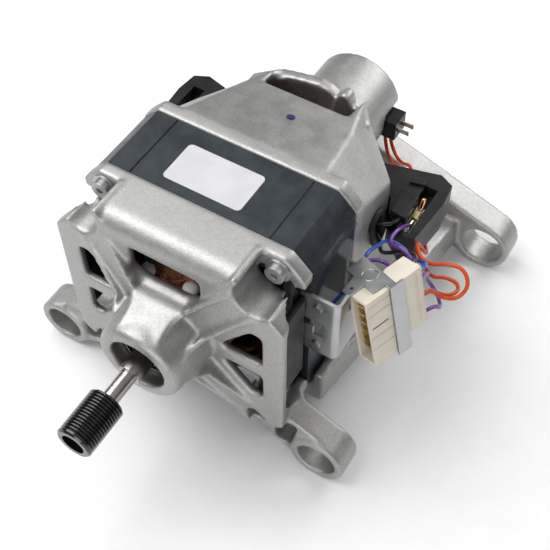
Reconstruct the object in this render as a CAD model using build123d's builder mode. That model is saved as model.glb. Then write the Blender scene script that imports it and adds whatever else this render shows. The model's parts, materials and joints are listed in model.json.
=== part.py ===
from build123d import *
import math
import os

# A belt-drive universal motor of a front-loading washing machine, in millimetres.
# The shaft lies along Y with the pulley towards -Y, the wiring side is +X and up is +Z.
# The origin is on the shaft axis, in the middle of the belt track.

os.makedirs("parts", exist_ok=True)

# Clearances and shared allowances
overrun = 1.0
slip_gap = 0.3
running_gap = 0.05
liner_gap = 0.25
edge_chamfer = 0.8

# Stations along the shaft
belt_to_hub = 33.6
front_cast_depth = 58.3
stack_length = 39.6
rear_shell_depth = 74.5
hub_face_y = belt_to_hub
stack_front_y = hub_face_y + front_cast_depth
stack_rear_y = stack_front_y + stack_length
rear_ring_y = stack_rear_y + rear_shell_depth

# Stator stack: a square sheet with corners on one circle, and two poles
stack_half_width = 60.0
stack_half_height = 58.2
stack_corner_radius = 77.0
seam_x = 38.2
seam_width = 0.9
seam_depth = 0.7
yoke_thickness = 14.0
yoke_inner_radius = 9.0
rotor_radius = 32.0
air_gap = 0.6
pole_neck_half_width = 22.0
pole_shoe_thickness = 4.2
pole_shoe_angle = 27.0
bolt_x = 47.5
bolt_z = 51.0
bolt_radius = 2.5
bolt_hole_gap = 0.35
bore_radius = rotor_radius + air_gap
bolt_hole_radius = bolt_radius + bolt_hole_gap
bolt_angle = math.degrees(math.atan2(bolt_z, bolt_x))
bolt_circle = math.hypot(bolt_x, bolt_z)

# Ball bearings, both of one size
bearing_bore_radius = 6.0
bearing_outer_radius = 16.0
bearing_width = 10.0
bearing_ball_radius = 2.95
bearing_ball_count = 7
bearing_ring_wall = 3.4
bearing_seat_depth = 8.4
front_bearing_y = hub_face_y + bearing_seat_depth
rear_bearing_setback = 4.0
rear_bearing_y = rear_ring_y + rear_bearing_setback
wave_washer_thickness = 0.5
wave_washer_height = 1.6
wave_washer_width = 4.0
wave_count = 3

# Front end frame
cast_wall = 3.5
rim_overlap = 0.8
rim_thickness = 8.0
hub_opening_radius = 15.35
hub_face_radius = 22.6
hub_root_radius = 24.5
hub_round = 2.2
front_plate_setback = 28.4
front_plate_thickness = 4.4
panel_half_width = 40.0
panel_edge_radius = 9.0
leg_half_width = 63.0
leg_inner_x = 51.5
leg_top_z = 36.0
leg_low_z = 46.0
shell_foot_z = 57.0
shell_foot_x = 50.0
scoop_radius = 10.8
screw_seat_depth = 8.0
arch_front_setback = 4.6
arch_top_z = 43.0
arch_low_z = 42.0
arch_top_round = 14.0
arch_low_round = 20.0
front_plate_y = hub_face_y + front_plate_setback
rim_front_y = stack_front_y - rim_thickness
rim_half_width = stack_half_width + rim_overlap
rim_half_height = stack_half_height + rim_overlap
rim_corner_radius = stack_corner_radius + rim_overlap
rim_inner_half_width = 55.0
rim_inner_half_height = 49.0
rim_inner_round = 8.0
bolt_boss_radius = 7.4

# Windows of the front plate
top_window_half_width = 19.0
top_window_high_z = 46.0
top_window_mid_z = 32.0
top_window_low_z = 25.5
top_window_foot_x = 11.5
side_window_inner_x = 27.0
side_window_corner_x = 45.5
side_window_top_z = 26.0
crossbar_half_height = 4.6
crossbar_lift = -2.0
window_round = 2.4
low_opening_half_width = 33.0
low_opening_z = 43.0

# Spokes of the front frame, one to each bolt
spoke_half_width = 9.2
spoke_flange = 2.8
spoke_floor = 3.2
spoke_flange_round = 1.2
spoke_start_radius = 20.0
spoke_rise_setback = 7.0
spoke_crest_setback = 20.5
spoke_crest_radius = 29.0
spoke_floor_inner_setback = 23.6
spoke_floor_outer_setback = 30.6
spoke_end_radius = 62.0

# Front lugs
front_lug_x = 81.3
front_lug_z = -66.0
front_lug_bore = 10.9
front_lug_wall = 4.5
front_lug_length = 17.5
front_lug_setback = 30.9
arm_setback = 2.5
arm_root_x = 52.0
arm_root_top_z = -39.0
arm_root_low_z = -66.0
arm_root_width = 6.0
pocket_round = 3.2
pocket_floor = 3.0
pocket_root_x = 59.0
pocket_end_x = 62.0
pocket_top_z = -50.0
pocket_low_z = -66.5
front_lug_y = hub_face_y + front_lug_setback
front_lug_radius = front_lug_bore + front_lug_wall
lug_bottom_z = front_lug_z - front_lug_radius

# Rear end frame
rear_lug_x = 95.4
rear_lug_bore = 12.75
rear_lug_wall = 4.05
rear_lug_length = 17.5
rear_lug_setback = 104.0
rear_lug_y = stack_rear_y + rear_lug_setback
rear_lug_radius = rear_lug_bore + rear_lug_wall
rear_lug_z = lug_bottom_z + rear_lug_radius
shell_mid_setback = 43.5
# Stations of its shell: panel half width, panel z, side x, shoulder z, flank z, foot x, floor z
front_station = (40.0, 59.0, 59.5, 43.5, 40.0, 45.0, 58.2)
mid_station = (34.0, 48.5, 58.0, 28.0, 33.0, 38.0, 47.0)
rear_station = (26.0, 42.0, 30.0, 27.0, 24.0, 26.0, 36.0)
rear_root_x = 45.0
slot_setback = 18.0
slot_half_width = 25.0
slot_low_z = 24.0
ring_radius = 31.0
ring_length = 7.0
ring_web = 3.5
tube_radius = 25.7
tube_wall = 3.0
tube_length = 47.2
bearing_sleeve_wall = 3.0
fin_thickness = 3.0
fin_top_z = 44.0
fin_x = 27.5
rear_rib_height = 2.6
rear_rib_width = 2.4
beam_inner_x = 61.0
beam_outer_x = 66.5
beam_top_z = -42.0
beam_low_z = -66.0
beam_foot_x = 52.0
beam_front_gap = 4.0
beam_end_outer_x = 80.0
beam_end_inner_x = 66.0
beam_end_top_z = -50.0
beam_end_low_z = -71.0
leg_plate_top_x = 25.0
leg_plate_top_z = -22.0
leg_plate_low_x = 30.0
leg_plate_low_z = -44.0
brush_window_front = 34.0
brush_window_half_height = 14.6
kidney_setback = 29.0
kidney_x = 58.6
kidney_length = 26.0
kidney_width = 11.0
kidney_z = 8.0
rear_rim_inner_half_width = 50.0
rear_rim_inner_half_height = 44.5
bearing_shoulder = 3.0
bearing_shoulder_radius = 13.0
fin_root_x = 35.0
fin_root_setback = 13.0
fin_end_x = 11.0
fin_low_z = 20.0
fin_crest_z = 40.0
web_low_z = -54.0
web_thickness = 3.5
pad_inner_x = 55.0
pad_low_z = -64.0
tube_end_y = rear_ring_y + tube_length
ring_end_y = rear_ring_y + ring_length
sensor_notch_width = 15.0
sensor_notch_length = 17.6

# Shaft and what turns on it
shaft_nose_radius = 4.25
shaft_nose_start = 4.0
shaft_step_lead = 6.0
shaft_core_radius = 7.0
shaft_core_lead = 3.0
shaft_tail_radius = 4.0
core_slots = 12
core_slot_depth = 11.0
core_slot_width = 6.4
core_mouth_width = 2.2
core_lip = 1.2
disc_thickness = 1.6
disc_radius = 30.0
winding_front_length = 22.0
winding_rear_length = 20.0
winding_radius = 28.6
winding_neck_radius = 9.5
winding_round = 6.5
commutator_radius = 17.0
commutator_length = 26.0
commutator_bars = 24
commutator_slot_width = 0.6
commutator_slot_depth = 1.5
riser_height = 2.2
riser_length = 3.5
brush_plane_lead = 57.0
brush_plane_y = stack_rear_y + brush_plane_lead
commutator_front_y = brush_plane_y - commutator_length / 2 - riser_length / 2
commutator_rear_y = brush_plane_y + commutator_length / 2

# Belt pulley with ribs of 1.6 mm pitch
pulley_radius = 9.3
pulley_bore_radius = 5.96
pulley_front = 14.0
pulley_rear = 11.5
rib_pitch = 1.6
rib_count = 14
rib_depth = 1.0
rib_crest_width = 0.45
rib_root_width = 0.35
pulley_chamfer = 0.9
pulley_core_depth = 13.0

# Field coils, flat rings of wire round the pole necks
coil_wire_radius = 1.6
coil_wire_gap = 0.6
coil_layers = 2
coil_turns = 3
coil_corner_radius = 6.0
coil_neck_gap = 1.6
coil_z_share = 0.62
coil_end_gap = 3.0

# Coil insulators
insulator_length = 7.5
insulator_wall = 1.6
insulator_half_width = 54.5
insulator_half_height = 48.0
insulator_split = 13.0
insulator_round = 7.0
insulator_inner_radius = 33.6
finger_radius = 3.1
finger_x = 15.5
finger_z = 30.3
finger_length = 21.0

# Insulating film and its fold
film_thickness = 0.4
film_gap = 0.15
film_low_z = -8.0
film_fold_z = 42.5
film_fold_height = 1.6
film_start_z = 52.0

# Side bracket of the terminal block
bracket_sheet = 1.6
bracket_reach = 14.0
bracket_top_z = 33.0
bracket_low_z = -10.0
bracket_lap = 5.0
bracket_length = 37.7
bracket_notch_lead = 9.4
bracket_notch_z = 19.5
bracket_bend = 2.4
bracket_step = 1.2
bracket_step_width = 5.0
bracket_step_low_z = 2.0
bracket_step_high_z = 18.0
bracket_slot_width = 5.6
bracket_slot_z = 12.0
bracket_slot_reach = 13.0
bracket_slot_drop = 6.0
rivet_x = 64.5
rivet_high_z = 25.5
rivet_low_z = -3.5
rivet_radius = 2.3
rivet_height = 1.1
rivet_shank_radius = 1.3

# Frame screws
screw_head_radius = 4.8
screw_head_height = 3.4
screw_socket_radius = 2.0
screw_socket_depth = 1.8
washer_radius = 6.4
washer_thickness = 1.0
screw_engagement = 7.0

# Terminal block, which hangs tilted outwards from the side bracket
block_corner = (84.1, 99.0, -9.4)
block_turn = -19.2
block_lean = 16.4
block_width = 11.9
block_height = 40.0
block_front_depth = 14.1
block_waist_depth = 8.2
block_waist_inset = 0.6
block_rear_depth = 12.3
block_rear_lift = 6.3
block_wall = 1.5
block_socket_depth = 12.0
pin_count = 6
pin_pitch = 5.0
pin_width = 0.8
pin_blade = 3.0
pin_length = 11.0
pin_first = 10.6
pin_across = 7.6
pin_root = 5.0
carrier_sheet = 1.0
carrier_lap = 7.0
carrier_tab_width = 6.0
carrier_tab_length = 9.5
carrier_tab_hole = 1.1
carrier_top_length = 12.6
carrier_foot = 8.0
block_depth = block_front_depth + block_waist_depth + block_rear_depth

# Brush gear
brush_width = 13.0
brush_thickness = 6.0
brush_length = 29.0
brush_travel = 4.0
brush_gap = 0.3
brush_slide_gap = 0.15
holder_wall = 2.2
holder_reach = 82.0
holder_start_x = 21.0
holder_join_x = 39.0
holder_low_z = -9.5
holder_top_z = 11.5
holder_cavity_end_x = 76.0
holder_slot_x = 69.0
holder_slot_floor_z = 4.5
holder_slot_front = 25.5
holder_slot_rear = 7.5
holder_strip_margin = 1.0
holder_strip_length = 21.0
holder_strip_thickness = 0.8
spring_wire_radius = 0.45
spring_radius = 2.1
spring_turns = 6
holder_mouth_width = 6.4

# Speed sensor
magnet_radius = 9.5
magnet_length = 9.0
magnet_setback = 26.0
sensor_bobbin_inner = 12.0
sensor_bobbin_outer = 21.6
sensor_bobbin_length = 13.0
sensor_setback = 24.0
sensor_cap_thickness = 2.4
plug_width = 12.0
plug_length = 12.5
plug_height = 9.0
prong_width = 2.8
prong_thickness = 0.8
prong_length = 7.0

# Lead grommet
kidney_turn = 108.0
grommet_lip = 1.5
grommet_rise = 2.0
grommet_wall = 1.8
grommet_depth = 6.0

# Leads with limp insulation, each given as the points of its route
lead_radius = 1.03
lead_bend_share = 0.45
lead_bore_depth = 8.0
lead_routes = {
    "leads_blue": (
        (
            (92.4, 127.9, 24.5), (97.1, 141.6, 25.1), (86.1, 150.3, 9.1), (76.1, 155.3, 9.5),
            (69.2, 152.4, 13.5), (67.5, 142.1, 17.5), (67.8, 131, 24.5), (68.2, 120, 16.1),
            (65.1, 107.1, 12.8), (63.9, 96.5, 12.2), (61.4, 85, 10.8), (55.9, 78, 10.5),
        ),
    ),
    "leads_violet": (
        (
            (72.5, 172, 6.4), (71.8, 163.5, 13.9), (70.5, 153.2, 16), (73.4, 146.8, 17.3),
            (77, 144.3, 22.7), (83.6, 142.3, 23.8), (92.7, 139.7, 16.4), (90.8, 128.5, 12.5),
        ),
        (
            (86, 127, 26.5), (79, 131.8, 23.8), (72.1, 130.5, 23.8), (68.1, 124.1, 24.1),
            (71.4, 111, 19.4), (68.4, 102.9, 12.1), (67, 92.4, 11.7), (60.5, 82.7, 15.7),
            (55.9, 76, 15.5),
        ),
        (
            (94.1, 127.3, 21.9), (96.7, 142, 18.6), (92.5, 151.4, -0.4), (101.2, 149.7, -7.4),
            (106.9, 140.4, -4.2), (104, 135.6, 3.2), (99.7, 125.3, 1.8),
        ),
    ),
    "leads_black": (
        (
            (53, 159.4, 11.9), (66, 159.3, 13.2), (69, 172, 12.9), (70.5, 182, 12.9),
        ),
        (
            (56.4, 161.6, 5.6), (64.4, 156.5, 5.7), (67.5, 147.9, 6.7), (74.3, 146, 12.7),
            (80.1, 147.8, 16.6), (91.3, 143.4, 23.1), (87.5, 129.6, 25.1),
        ),
    ),
    "leads_orange": (
        (
            (27.5, 240, -10.3), (30.5, 238.2, -18.5), (39.5, 232.5, -21.5), (51.4, 221.2, -5.8),
            (67, 194.8, -14.6), (87.2, 170.3, -11.1), (80.2, 162.2, 10.5), (87.3, 151.8, 12),
            (94.2, 150.6, 11.5), (99.7, 154.9, 11.3), (108.7, 156.1, 13.2), (115.1, 151.4, 8.4),
            (112.4, 145.1, 2), (103.5, 141.5, 2.5), (100.1, 138.4, 11.7), (96.3, 126.5, 12.2),
        ),
        (
            (24.3, 240, -10.3), (26.4, 238.2, -19.2), (34.6, 230.8, -23.4), (49.6, 215.4, -4.4),
            (63.1, 190.4, -16.9), (84.5, 167.1, -13.7), (80.7, 162.3, 4.3), (88.1, 153.8, 6.2),
            (94.6, 153.9, -2.2), (99.5, 158.9, -4.1), (106.7, 158.5, -3.1), (110.3, 152.7, -0.8),
            (107.8, 146, 0.8), (101.1, 143.5, 1.9), (98.5, 139.1, 6.8), (94.5, 127.2, 6.4),
        ),
    ),
}

# Sticker on the stack
sticker_width = 42.5
sticker_length = 24.0
sticker_round = 2.4
sticker_thickness = 0.12
sticker_x = -3.0
sticker_lead = 5.6

# Further sizes of the beams, webs, holders and small pieces
beam_step_z = -60.2
beam_heel_z = -50.0
beam_end_foot_x = 58.0
beam_end_step_z = -66.0
beam_end_heel_z = -56.0
web_taper = 28.0
leg_root_x = 14.0
leg_root_high_z = -22.0
leg_root_low_z = -37.0
leg_root_round = 4.0
brush_window_length = 24.0
holder_lift = 2.0
coil_roof_gap = 2.2
rear_insulator_half_width = 49.5
rear_insulator_half_height = 44.0
film_start_x = 57.4
lead_cone_start_radius = 13.0
carrier_gap = 0.2
carrier_foot_low_z = 8.0
carrier_foot_top_z = 29.0
carrier_foot_y = 119.5
carrier_hole = (-1.0, 2.8)
carrier_outline = [
    (-13.4, 22.0), (13.1, 18.4), (13.1, 14.1), (9.0, 14.1), (9.0, 7.2), (2.0, 7.7), (2.2, -1.7),
    (-3.0, -1.3), (-6.1, 8.9), (-12.6, 9.7),
]
holder_outline = [
    (39.0, -9.0), (39.0, 9.5), (73.0, 18.5), (81.0, 14.5), (82.5, 1.5), (80.0, -27.5),
    (73.5, -29.0), (61.0, -19.0), (57.0, -9.0),
]
plug_z = -4.0
plug_start_x = 15.0
plug_reach = 17.0
prong_lead = 3.2
brush_window_y = brush_plane_y
magnet_end_y = hub_face_y + 207.4
sensor_y = hub_face_y + 202.4

quadrants = [(1, 1), (-1, 1), (1, -1), (-1, -1)]


def across(y):
    """A plane square to the shaft at station y, with X to the right and Z up."""
    return Plane.XZ.offset(-y)


def ray_plane(angle):
    """A plane through the shaft axis whose x runs outwards at this angle and whose y is +Y."""
    turn = math.radians(angle)
    return Plane(origin=(0, 0, 0), x_dir=(math.cos(turn), 0, math.sin(turn)),
                 z_dir=(-math.sin(turn), 0, math.cos(turn)))


kidney_y = stack_rear_y + kidney_setback
kidney_plane = Plane(origin=(kidney_x, kidney_y, kidney_z), x_dir=(0, 1, 0), z_dir=(1, 0, 0))
block_place = Pos(*block_corner) * Rotation(0, 0, block_turn) * Rotation(0, -block_lean, 0)


def on_block(plane):
    """This plane carried over into the terminal block's own tilted frame."""
    return Plane(block_place * plane.location)


def tidy(part, label):
    """Names the piece and writes it to its file."""
    part.label = label
    export_step(part, f"parts/{label}.step")



def stack_sheet(grow):
    """The outline of a stator sheet, a rectangle cut by a circle, made larger by grow."""
    with BuildSketch(Plane.XY) as sheet:
        Circle(stack_corner_radius + grow)
        Rectangle(
            2 * (stack_half_width + grow), 2 * (stack_half_height + grow), mode=Mode.INTERSECT
        )
    return sheet.sketch


def slotted_sheet(outer_radius, slot_count_gap):
    """The outline of a rotor sheet with its slots, each slot wider by slot_count_gap."""
    with BuildSketch(Plane.XY) as sheet:
        Circle(outer_radius)
        slot_mid = rotor_radius - core_lip - core_slot_depth / 2
        with PolarLocations(slot_mid, core_slots):
            RectangleRounded(
                core_slot_depth, core_slot_width + slot_count_gap, core_slot_width / 4,
                mode=Mode.SUBTRACT,
            )
        with PolarLocations(rotor_radius, core_slots):
            Rectangle(core_slot_depth, core_mouth_width, mode=Mode.SUBTRACT)
        Circle(shaft_core_radius, mode=Mode.SUBTRACT)
    return sheet.sketch


# Front end frame, cast: hub nose, four channel spokes, windowed plate, panel, legs and two lugs
panel_corner_z = rim_half_height - panel_edge_radius
chord_x = panel_half_width + 2 * scoop_radius * math.sin(math.radians(bolt_angle))
chord_z = rim_half_height - 2 * scoop_radius * math.cos(math.radians(bolt_angle))
arm_front_y = front_lug_y + arm_setback
nose_floor_y = front_bearing_y + bearing_width
spoke_channel_half = spoke_half_width - spoke_flange

with BuildPart() as front_end_frame:
    # Side walls and the plate that closes the front
    with BuildSketch(across(front_plate_y)):
        with BuildLine():
            shell_line = Polyline(
                (panel_half_width, rim_half_height), (chord_x, chord_z),
                (leg_half_width, leg_top_z), (leg_half_width, -leg_low_z),
                (shell_foot_x, -shell_foot_z), (-shell_foot_x, -shell_foot_z),
                (-leg_half_width, -leg_low_z), (-leg_half_width, leg_top_z),
                (-chord_x, chord_z), (-panel_half_width, rim_half_height), close=True,
            )
        make_face()
        offset(amount=-cast_wall, mode=Mode.SUBTRACT)
    extrude(amount=front_plate_y - rim_front_y)
    with BuildSketch(across(front_plate_y)):
        with BuildLine():
            add(shell_line)
        make_face()
    extrude(amount=-front_plate_thickness)
    # The bottom stays open between the lower spokes
    with BuildSketch(across(front_plate_y - overrun)):
        with Locations((0, -rim_half_height)):
            Rectangle(2 * low_opening_half_width, 2 * (rim_half_height - low_opening_z))
    extrude(amount=-(front_cast_depth - front_plate_setback + 2 * overrun), mode=Mode.SUBTRACT)
    # The long front edge of the top panel is well rounded
    with BuildSketch(Plane.YZ.offset(-panel_half_width)):
        with Locations((front_plate_y, rim_half_height)):
            Rectangle(2 * panel_edge_radius, 2 * panel_edge_radius)
    extrude(amount=2 * panel_half_width, mode=Mode.SUBTRACT)
    with BuildSketch(Plane.YZ.offset(-panel_half_width)):
        with Locations((front_plate_y + panel_edge_radius, panel_corner_z)):
            Circle(panel_edge_radius)
            Circle(panel_edge_radius - cast_wall, mode=Mode.SUBTRACT)
        with Locations((front_plate_y, rim_half_height)):
            Rectangle(2 * panel_edge_radius, 2 * panel_edge_radius, mode=Mode.INTERSECT)
    extrude(amount=2 * panel_half_width)
    # The rim that the stack seats against, left out beside the legs
    with BuildSketch(across(rim_front_y)):
        add(stack_sheet(rim_overlap))
        RectangleRounded(
            2 * rim_inner_half_width, 2 * rim_inner_half_height, rim_inner_round,
            mode=Mode.SUBTRACT,
        )
        Rectangle(3 * rim_half_width, 2 * leg_top_z, mode=Mode.SUBTRACT)
        for side, level in quadrants:
            with Locations((side * bolt_x, level * bolt_z)):
                Circle(bolt_boss_radius)
    extrude(amount=-rim_thickness)
    # Scooped corners that leave the upper screws open to the front
    with BuildSketch(across(front_plate_y)):
        for side in (1, -1):
            with Locations((side * bolt_x, bolt_z)):
                Circle(scoop_radius + cast_wall)
    extrude(amount=front_plate_y - rim_front_y)
    # Columns to the lower screws, with sockets for a long driver
    with BuildSketch(across(arm_front_y)):
        for side in (1, -1):
            with Locations((side * bolt_x, -bolt_z)):
                Circle(scoop_radius)
    extrude(amount=arm_front_y - rim_front_y)
    # Arms, each a hull from the leg's foot to its lug
    for side in (1, -1):
        with BuildSketch(across(arm_front_y)):
            with Locations((side * front_lug_x, front_lug_z)):
                Circle(front_lug_radius)
            with Locations((side * arm_root_x, (arm_root_top_z + arm_root_low_z) / 2)):
                Rectangle(arm_root_width, arm_root_top_z - arm_root_low_z)
            make_hull()
        extrude(amount=-(front_lug_length - arm_setback))
    # Spokes: a floor and two flanges each, rising from the nose to the screws
    for side, level in quadrants:
        spoke_angle = math.degrees(math.atan2(level * bolt_z, side * bolt_x))
        with BuildSketch(ray_plane(spoke_angle)):
            with BuildLine():
                Polyline(
                    (hub_root_radius, hub_face_y + spoke_floor_inner_setback),
                    (bolt_circle, hub_face_y + spoke_floor_outer_setback),
                    (bolt_circle, hub_face_y), (hub_root_radius, hub_face_y), close=True,
                )
            make_face()
        extrude(amount=spoke_channel_half, both=True, mode=Mode.SUBTRACT)
        with BuildSketch(ray_plane(spoke_angle)):
            with BuildLine():
                Polyline(
                    (hub_root_radius - spoke_flange, hub_face_y + spoke_floor_inner_setback),
                    (bolt_circle, hub_face_y + spoke_floor_outer_setback),
                    (bolt_circle, hub_face_y + spoke_floor_outer_setback + spoke_floor),
                    (hub_root_radius - spoke_flange,
                     hub_face_y + spoke_floor_inner_setback + spoke_floor),
                    close=True,
                )
            make_face()
        extrude(amount=spoke_channel_half, both=True)
        for flange_side in (1, -1):
            flank = ray_plane(spoke_angle).offset(
                flange_side * (spoke_channel_half + spoke_flange / 2)
            )
            with BuildSketch(flank):
                with BuildLine():
                    Polyline(
                        (hub_face_radius - spoke_flange, hub_face_y + spoke_rise_setback),
                        (spoke_crest_radius, hub_face_y + spoke_crest_setback),
                        (spoke_end_radius, front_plate_y),
                        (spoke_end_radius, front_plate_y + front_plate_thickness),
                        (hub_face_radius - spoke_flange, front_plate_y),
                        close=True,
                    )
                make_face()
            extrude(amount=spoke_flange / 2, both=True)
    # The hub nose, with a flat facet that rises to the sill of the top window
    with BuildSketch(Plane.XY):
        with BuildLine():
            Polyline(
                (0, hub_face_y), (hub_face_radius - hub_round, hub_face_y),
                (hub_face_radius, hub_face_y + hub_round),
                (hub_root_radius, front_plate_y), (hub_root_radius, front_plate_y + front_plate_thickness),
                (0, front_plate_y + front_plate_thickness), close=True,
            )
        make_face()
    revolve(axis=Axis.Y)
    with BuildSketch(Plane.YZ.offset(-top_window_foot_x)):
        with BuildLine():
            Polyline(
                (hub_face_y + spoke_rise_setback / 2, 0),
                (hub_face_y + spoke_rise_setback / 2, hub_face_radius - hub_round),
                (hub_face_y + spoke_crest_setback, top_window_low_z + spoke_flange / 2),
                (front_plate_y, top_window_low_z + spoke_flange / 2), (front_plate_y, 0), close=True,
            )
        make_face()
    extrude(amount=2 * top_window_foot_x)
    # Lugs stand a little proud of their arms
    with BuildSketch(across(front_lug_y)):
        with Locations((front_lug_x, front_lug_z), (-front_lug_x, front_lug_z)):
            Circle(front_lug_radius)
    extrude(amount=-front_lug_length)
    # Windows of the plate
    with BuildSketch(across(hub_face_y + spoke_crest_setback)):
        with BuildLine():
            Polyline(
                (top_window_half_width, top_window_high_z), (top_window_half_width, top_window_mid_z),
                (top_window_foot_x, top_window_low_z + spoke_flange),
                (-top_window_foot_x, top_window_low_z + spoke_flange),
                (-top_window_half_width, top_window_mid_z), (-top_window_half_width, top_window_high_z),
                close=True,
            )
        top_window = make_face()
        fillet(top_window.vertices(), window_round)
    extrude(amount=-(front_cast_depth - spoke_crest_setback - rim_thickness), mode=Mode.SUBTRACT)
    for side in (1, -1):
        with BuildSketch(across(front_plate_y - overrun)):
            with BuildLine():
                Polyline(
                    (side * side_window_inner_x, crossbar_lift + crossbar_half_height),
                    (side * leg_inner_x, crossbar_lift + crossbar_half_height),
                    (side * leg_inner_x, side_window_top_z),
                    (side * side_window_corner_x, side_window_top_z), close=True,
                )
            upper_window = make_face()
            fillet(upper_window.vertices(), window_round)
            with BuildLine():
                Polyline(
                    (side * side_window_inner_x, crossbar_lift - crossbar_half_height),
                    (side * leg_inner_x, crossbar_lift - crossbar_half_height),
                    (side * leg_inner_x, -side_window_top_z),
                    (side * side_window_corner_x, -side_window_top_z), close=True,
                )
            lower_window = make_face()
            fillet(lower_window.vertices(), window_round)
        extrude(amount=-(front_plate_thickness + 2 * overrun), mode=Mode.SUBTRACT)
    # Arches that open the sides between the legs and the stack
    with BuildSketch(Plane.YZ.offset(shell_foot_x + cast_wall)):
        with Locations((stack_front_y, (arch_top_z - arch_low_z) / 2)):
            RectangleRounded(
                2 * (stack_front_y - front_plate_y - arch_front_setback),
                arch_top_z + arch_low_z, arch_top_round,
            )
    extrude(amount=leg_half_width, mode=Mode.SUBTRACT)
    with BuildSketch(Plane.YZ.offset(-shell_foot_x - cast_wall)):
        with Locations((stack_front_y, (arch_top_z - arch_low_z) / 2)):
            RectangleRounded(
                2 * (stack_front_y - front_plate_y - arch_front_setback),
                arch_top_z + arch_low_z, arch_top_round,
            )
    extrude(amount=-leg_half_width, mode=Mode.SUBTRACT)
    # The scoops, each open beyond the bolt circle, and the lower driver sockets
    with BuildSketch(across(hub_face_y)):
        for side in (1, -1):
            with Locations((side * bolt_x, bolt_z)):
                Circle(scoop_radius)
            with Locations((side * bolt_x, -bolt_z)):
                Circle(washer_radius + slip_gap)
            outward = math.degrees(math.atan2(bolt_z, side * bolt_x))
            with Locations(Location((0, 0), outward)):
                with Locations((bolt_circle + scoop_radius, 0)):
                    Rectangle(2 * scoop_radius, 4 * scoop_radius)
    extrude(amount=hub_face_y - rim_front_y, mode=Mode.SUBTRACT)
    # Screw holes
    with BuildSketch(across(rim_front_y - overrun)):
        for side, level in quadrants:
            with Locations((side * bolt_x, level * bolt_z)):
                Circle(bolt_hole_radius)
    extrude(amount=-(rim_thickness + 2 * overrun), mode=Mode.SUBTRACT)
    # Lug bores and the pocket in each arm
    with BuildSketch(across(front_lug_y - overrun)):
        with Locations((front_lug_x, front_lug_z), (-front_lug_x, front_lug_z)):
            Circle(front_lug_bore)
    extrude(amount=-(front_lug_length + 2 * overrun), mode=Mode.SUBTRACT)
    for side in (1, -1):
        with BuildSketch(across(front_lug_y)):
            with Locations(
                (side * pocket_root_x, pocket_top_z), (side * pocket_root_x, pocket_low_z),
                (side * pocket_end_x, pocket_low_z), (side * (pocket_end_x + pocket_round), pocket_top_z),
            ):
                Circle(pocket_round)
            make_hull()
        extrude(amount=-(front_lug_length - pocket_floor), mode=Mode.SUBTRACT)
    # Hub opening, bearing seat and the room behind it
    with BuildSketch(Plane.XY):
        with BuildLine():
            Polyline(
                (0, hub_face_y - overrun), (hub_opening_radius, hub_face_y - overrun),
                (hub_opening_radius, front_bearing_y), (bearing_outer_radius, front_bearing_y),
                (bearing_outer_radius, nose_floor_y), (hub_root_radius - cast_wall, nose_floor_y),
                (hub_root_radius - cast_wall, front_plate_y + front_plate_thickness + overrun),
                (0, front_plate_y + front_plate_thickness + overrun), close=True,
            )
        make_face()
    revolve(axis=Axis.Y, mode=Mode.SUBTRACT)
tidy(front_end_frame.part, "front_end_frame")


def rear_section(station, inset):
    """The outline of the rear shell at one of its stations, drawn in by inset."""
    half, top, side, shoulder, flank, foot, floor = station
    with BuildSketch(Plane.XY) as section:
        with BuildLine():
            Polyline(
                (half, top), (side, shoulder), (side, -flank), (foot, -floor), (-foot, -floor),
                (-side, -flank), (-side, shoulder), (-half, top), close=True,
            )
        make_face()
        if inset:
            offset(amount=-inset, kind=Kind.INTERSECTION, mode=Mode.REPLACE)
    return section.sketch


def stack_opening():
    """The bore and the two coil windows of a stator sheet."""
    shoe_radius = bore_radius + pole_shoe_thickness
    window_x = stack_half_width - yoke_thickness
    window_z = stack_half_height - yoke_thickness
    tip = window_x * math.tan(math.radians(pole_shoe_angle))
    with BuildSketch(Plane.XY) as opening:
        RectangleRounded(2 * window_x, 2 * window_z, yoke_inner_radius)
        Rectangle(2 * pole_neck_half_width, 2 * stack_half_height, mode=Mode.SUBTRACT)
        Circle(shoe_radius, mode=Mode.SUBTRACT)
        for side in (1, -1):
            with BuildLine():
                Polyline((0, 0), (side * window_x, tip), (side * window_x, -tip), close=True)
            make_face()
        Circle(bore_radius)
    return opening.sketch


# Rear end frame, cast: tapering shell, bearing ring, sensor tube, beams and leg plates to two lugs
shell_front_y = stack_rear_y + rim_thickness
shell_mid_y = stack_rear_y + shell_mid_setback
web_top_z = web_low_z + web_thickness

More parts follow.
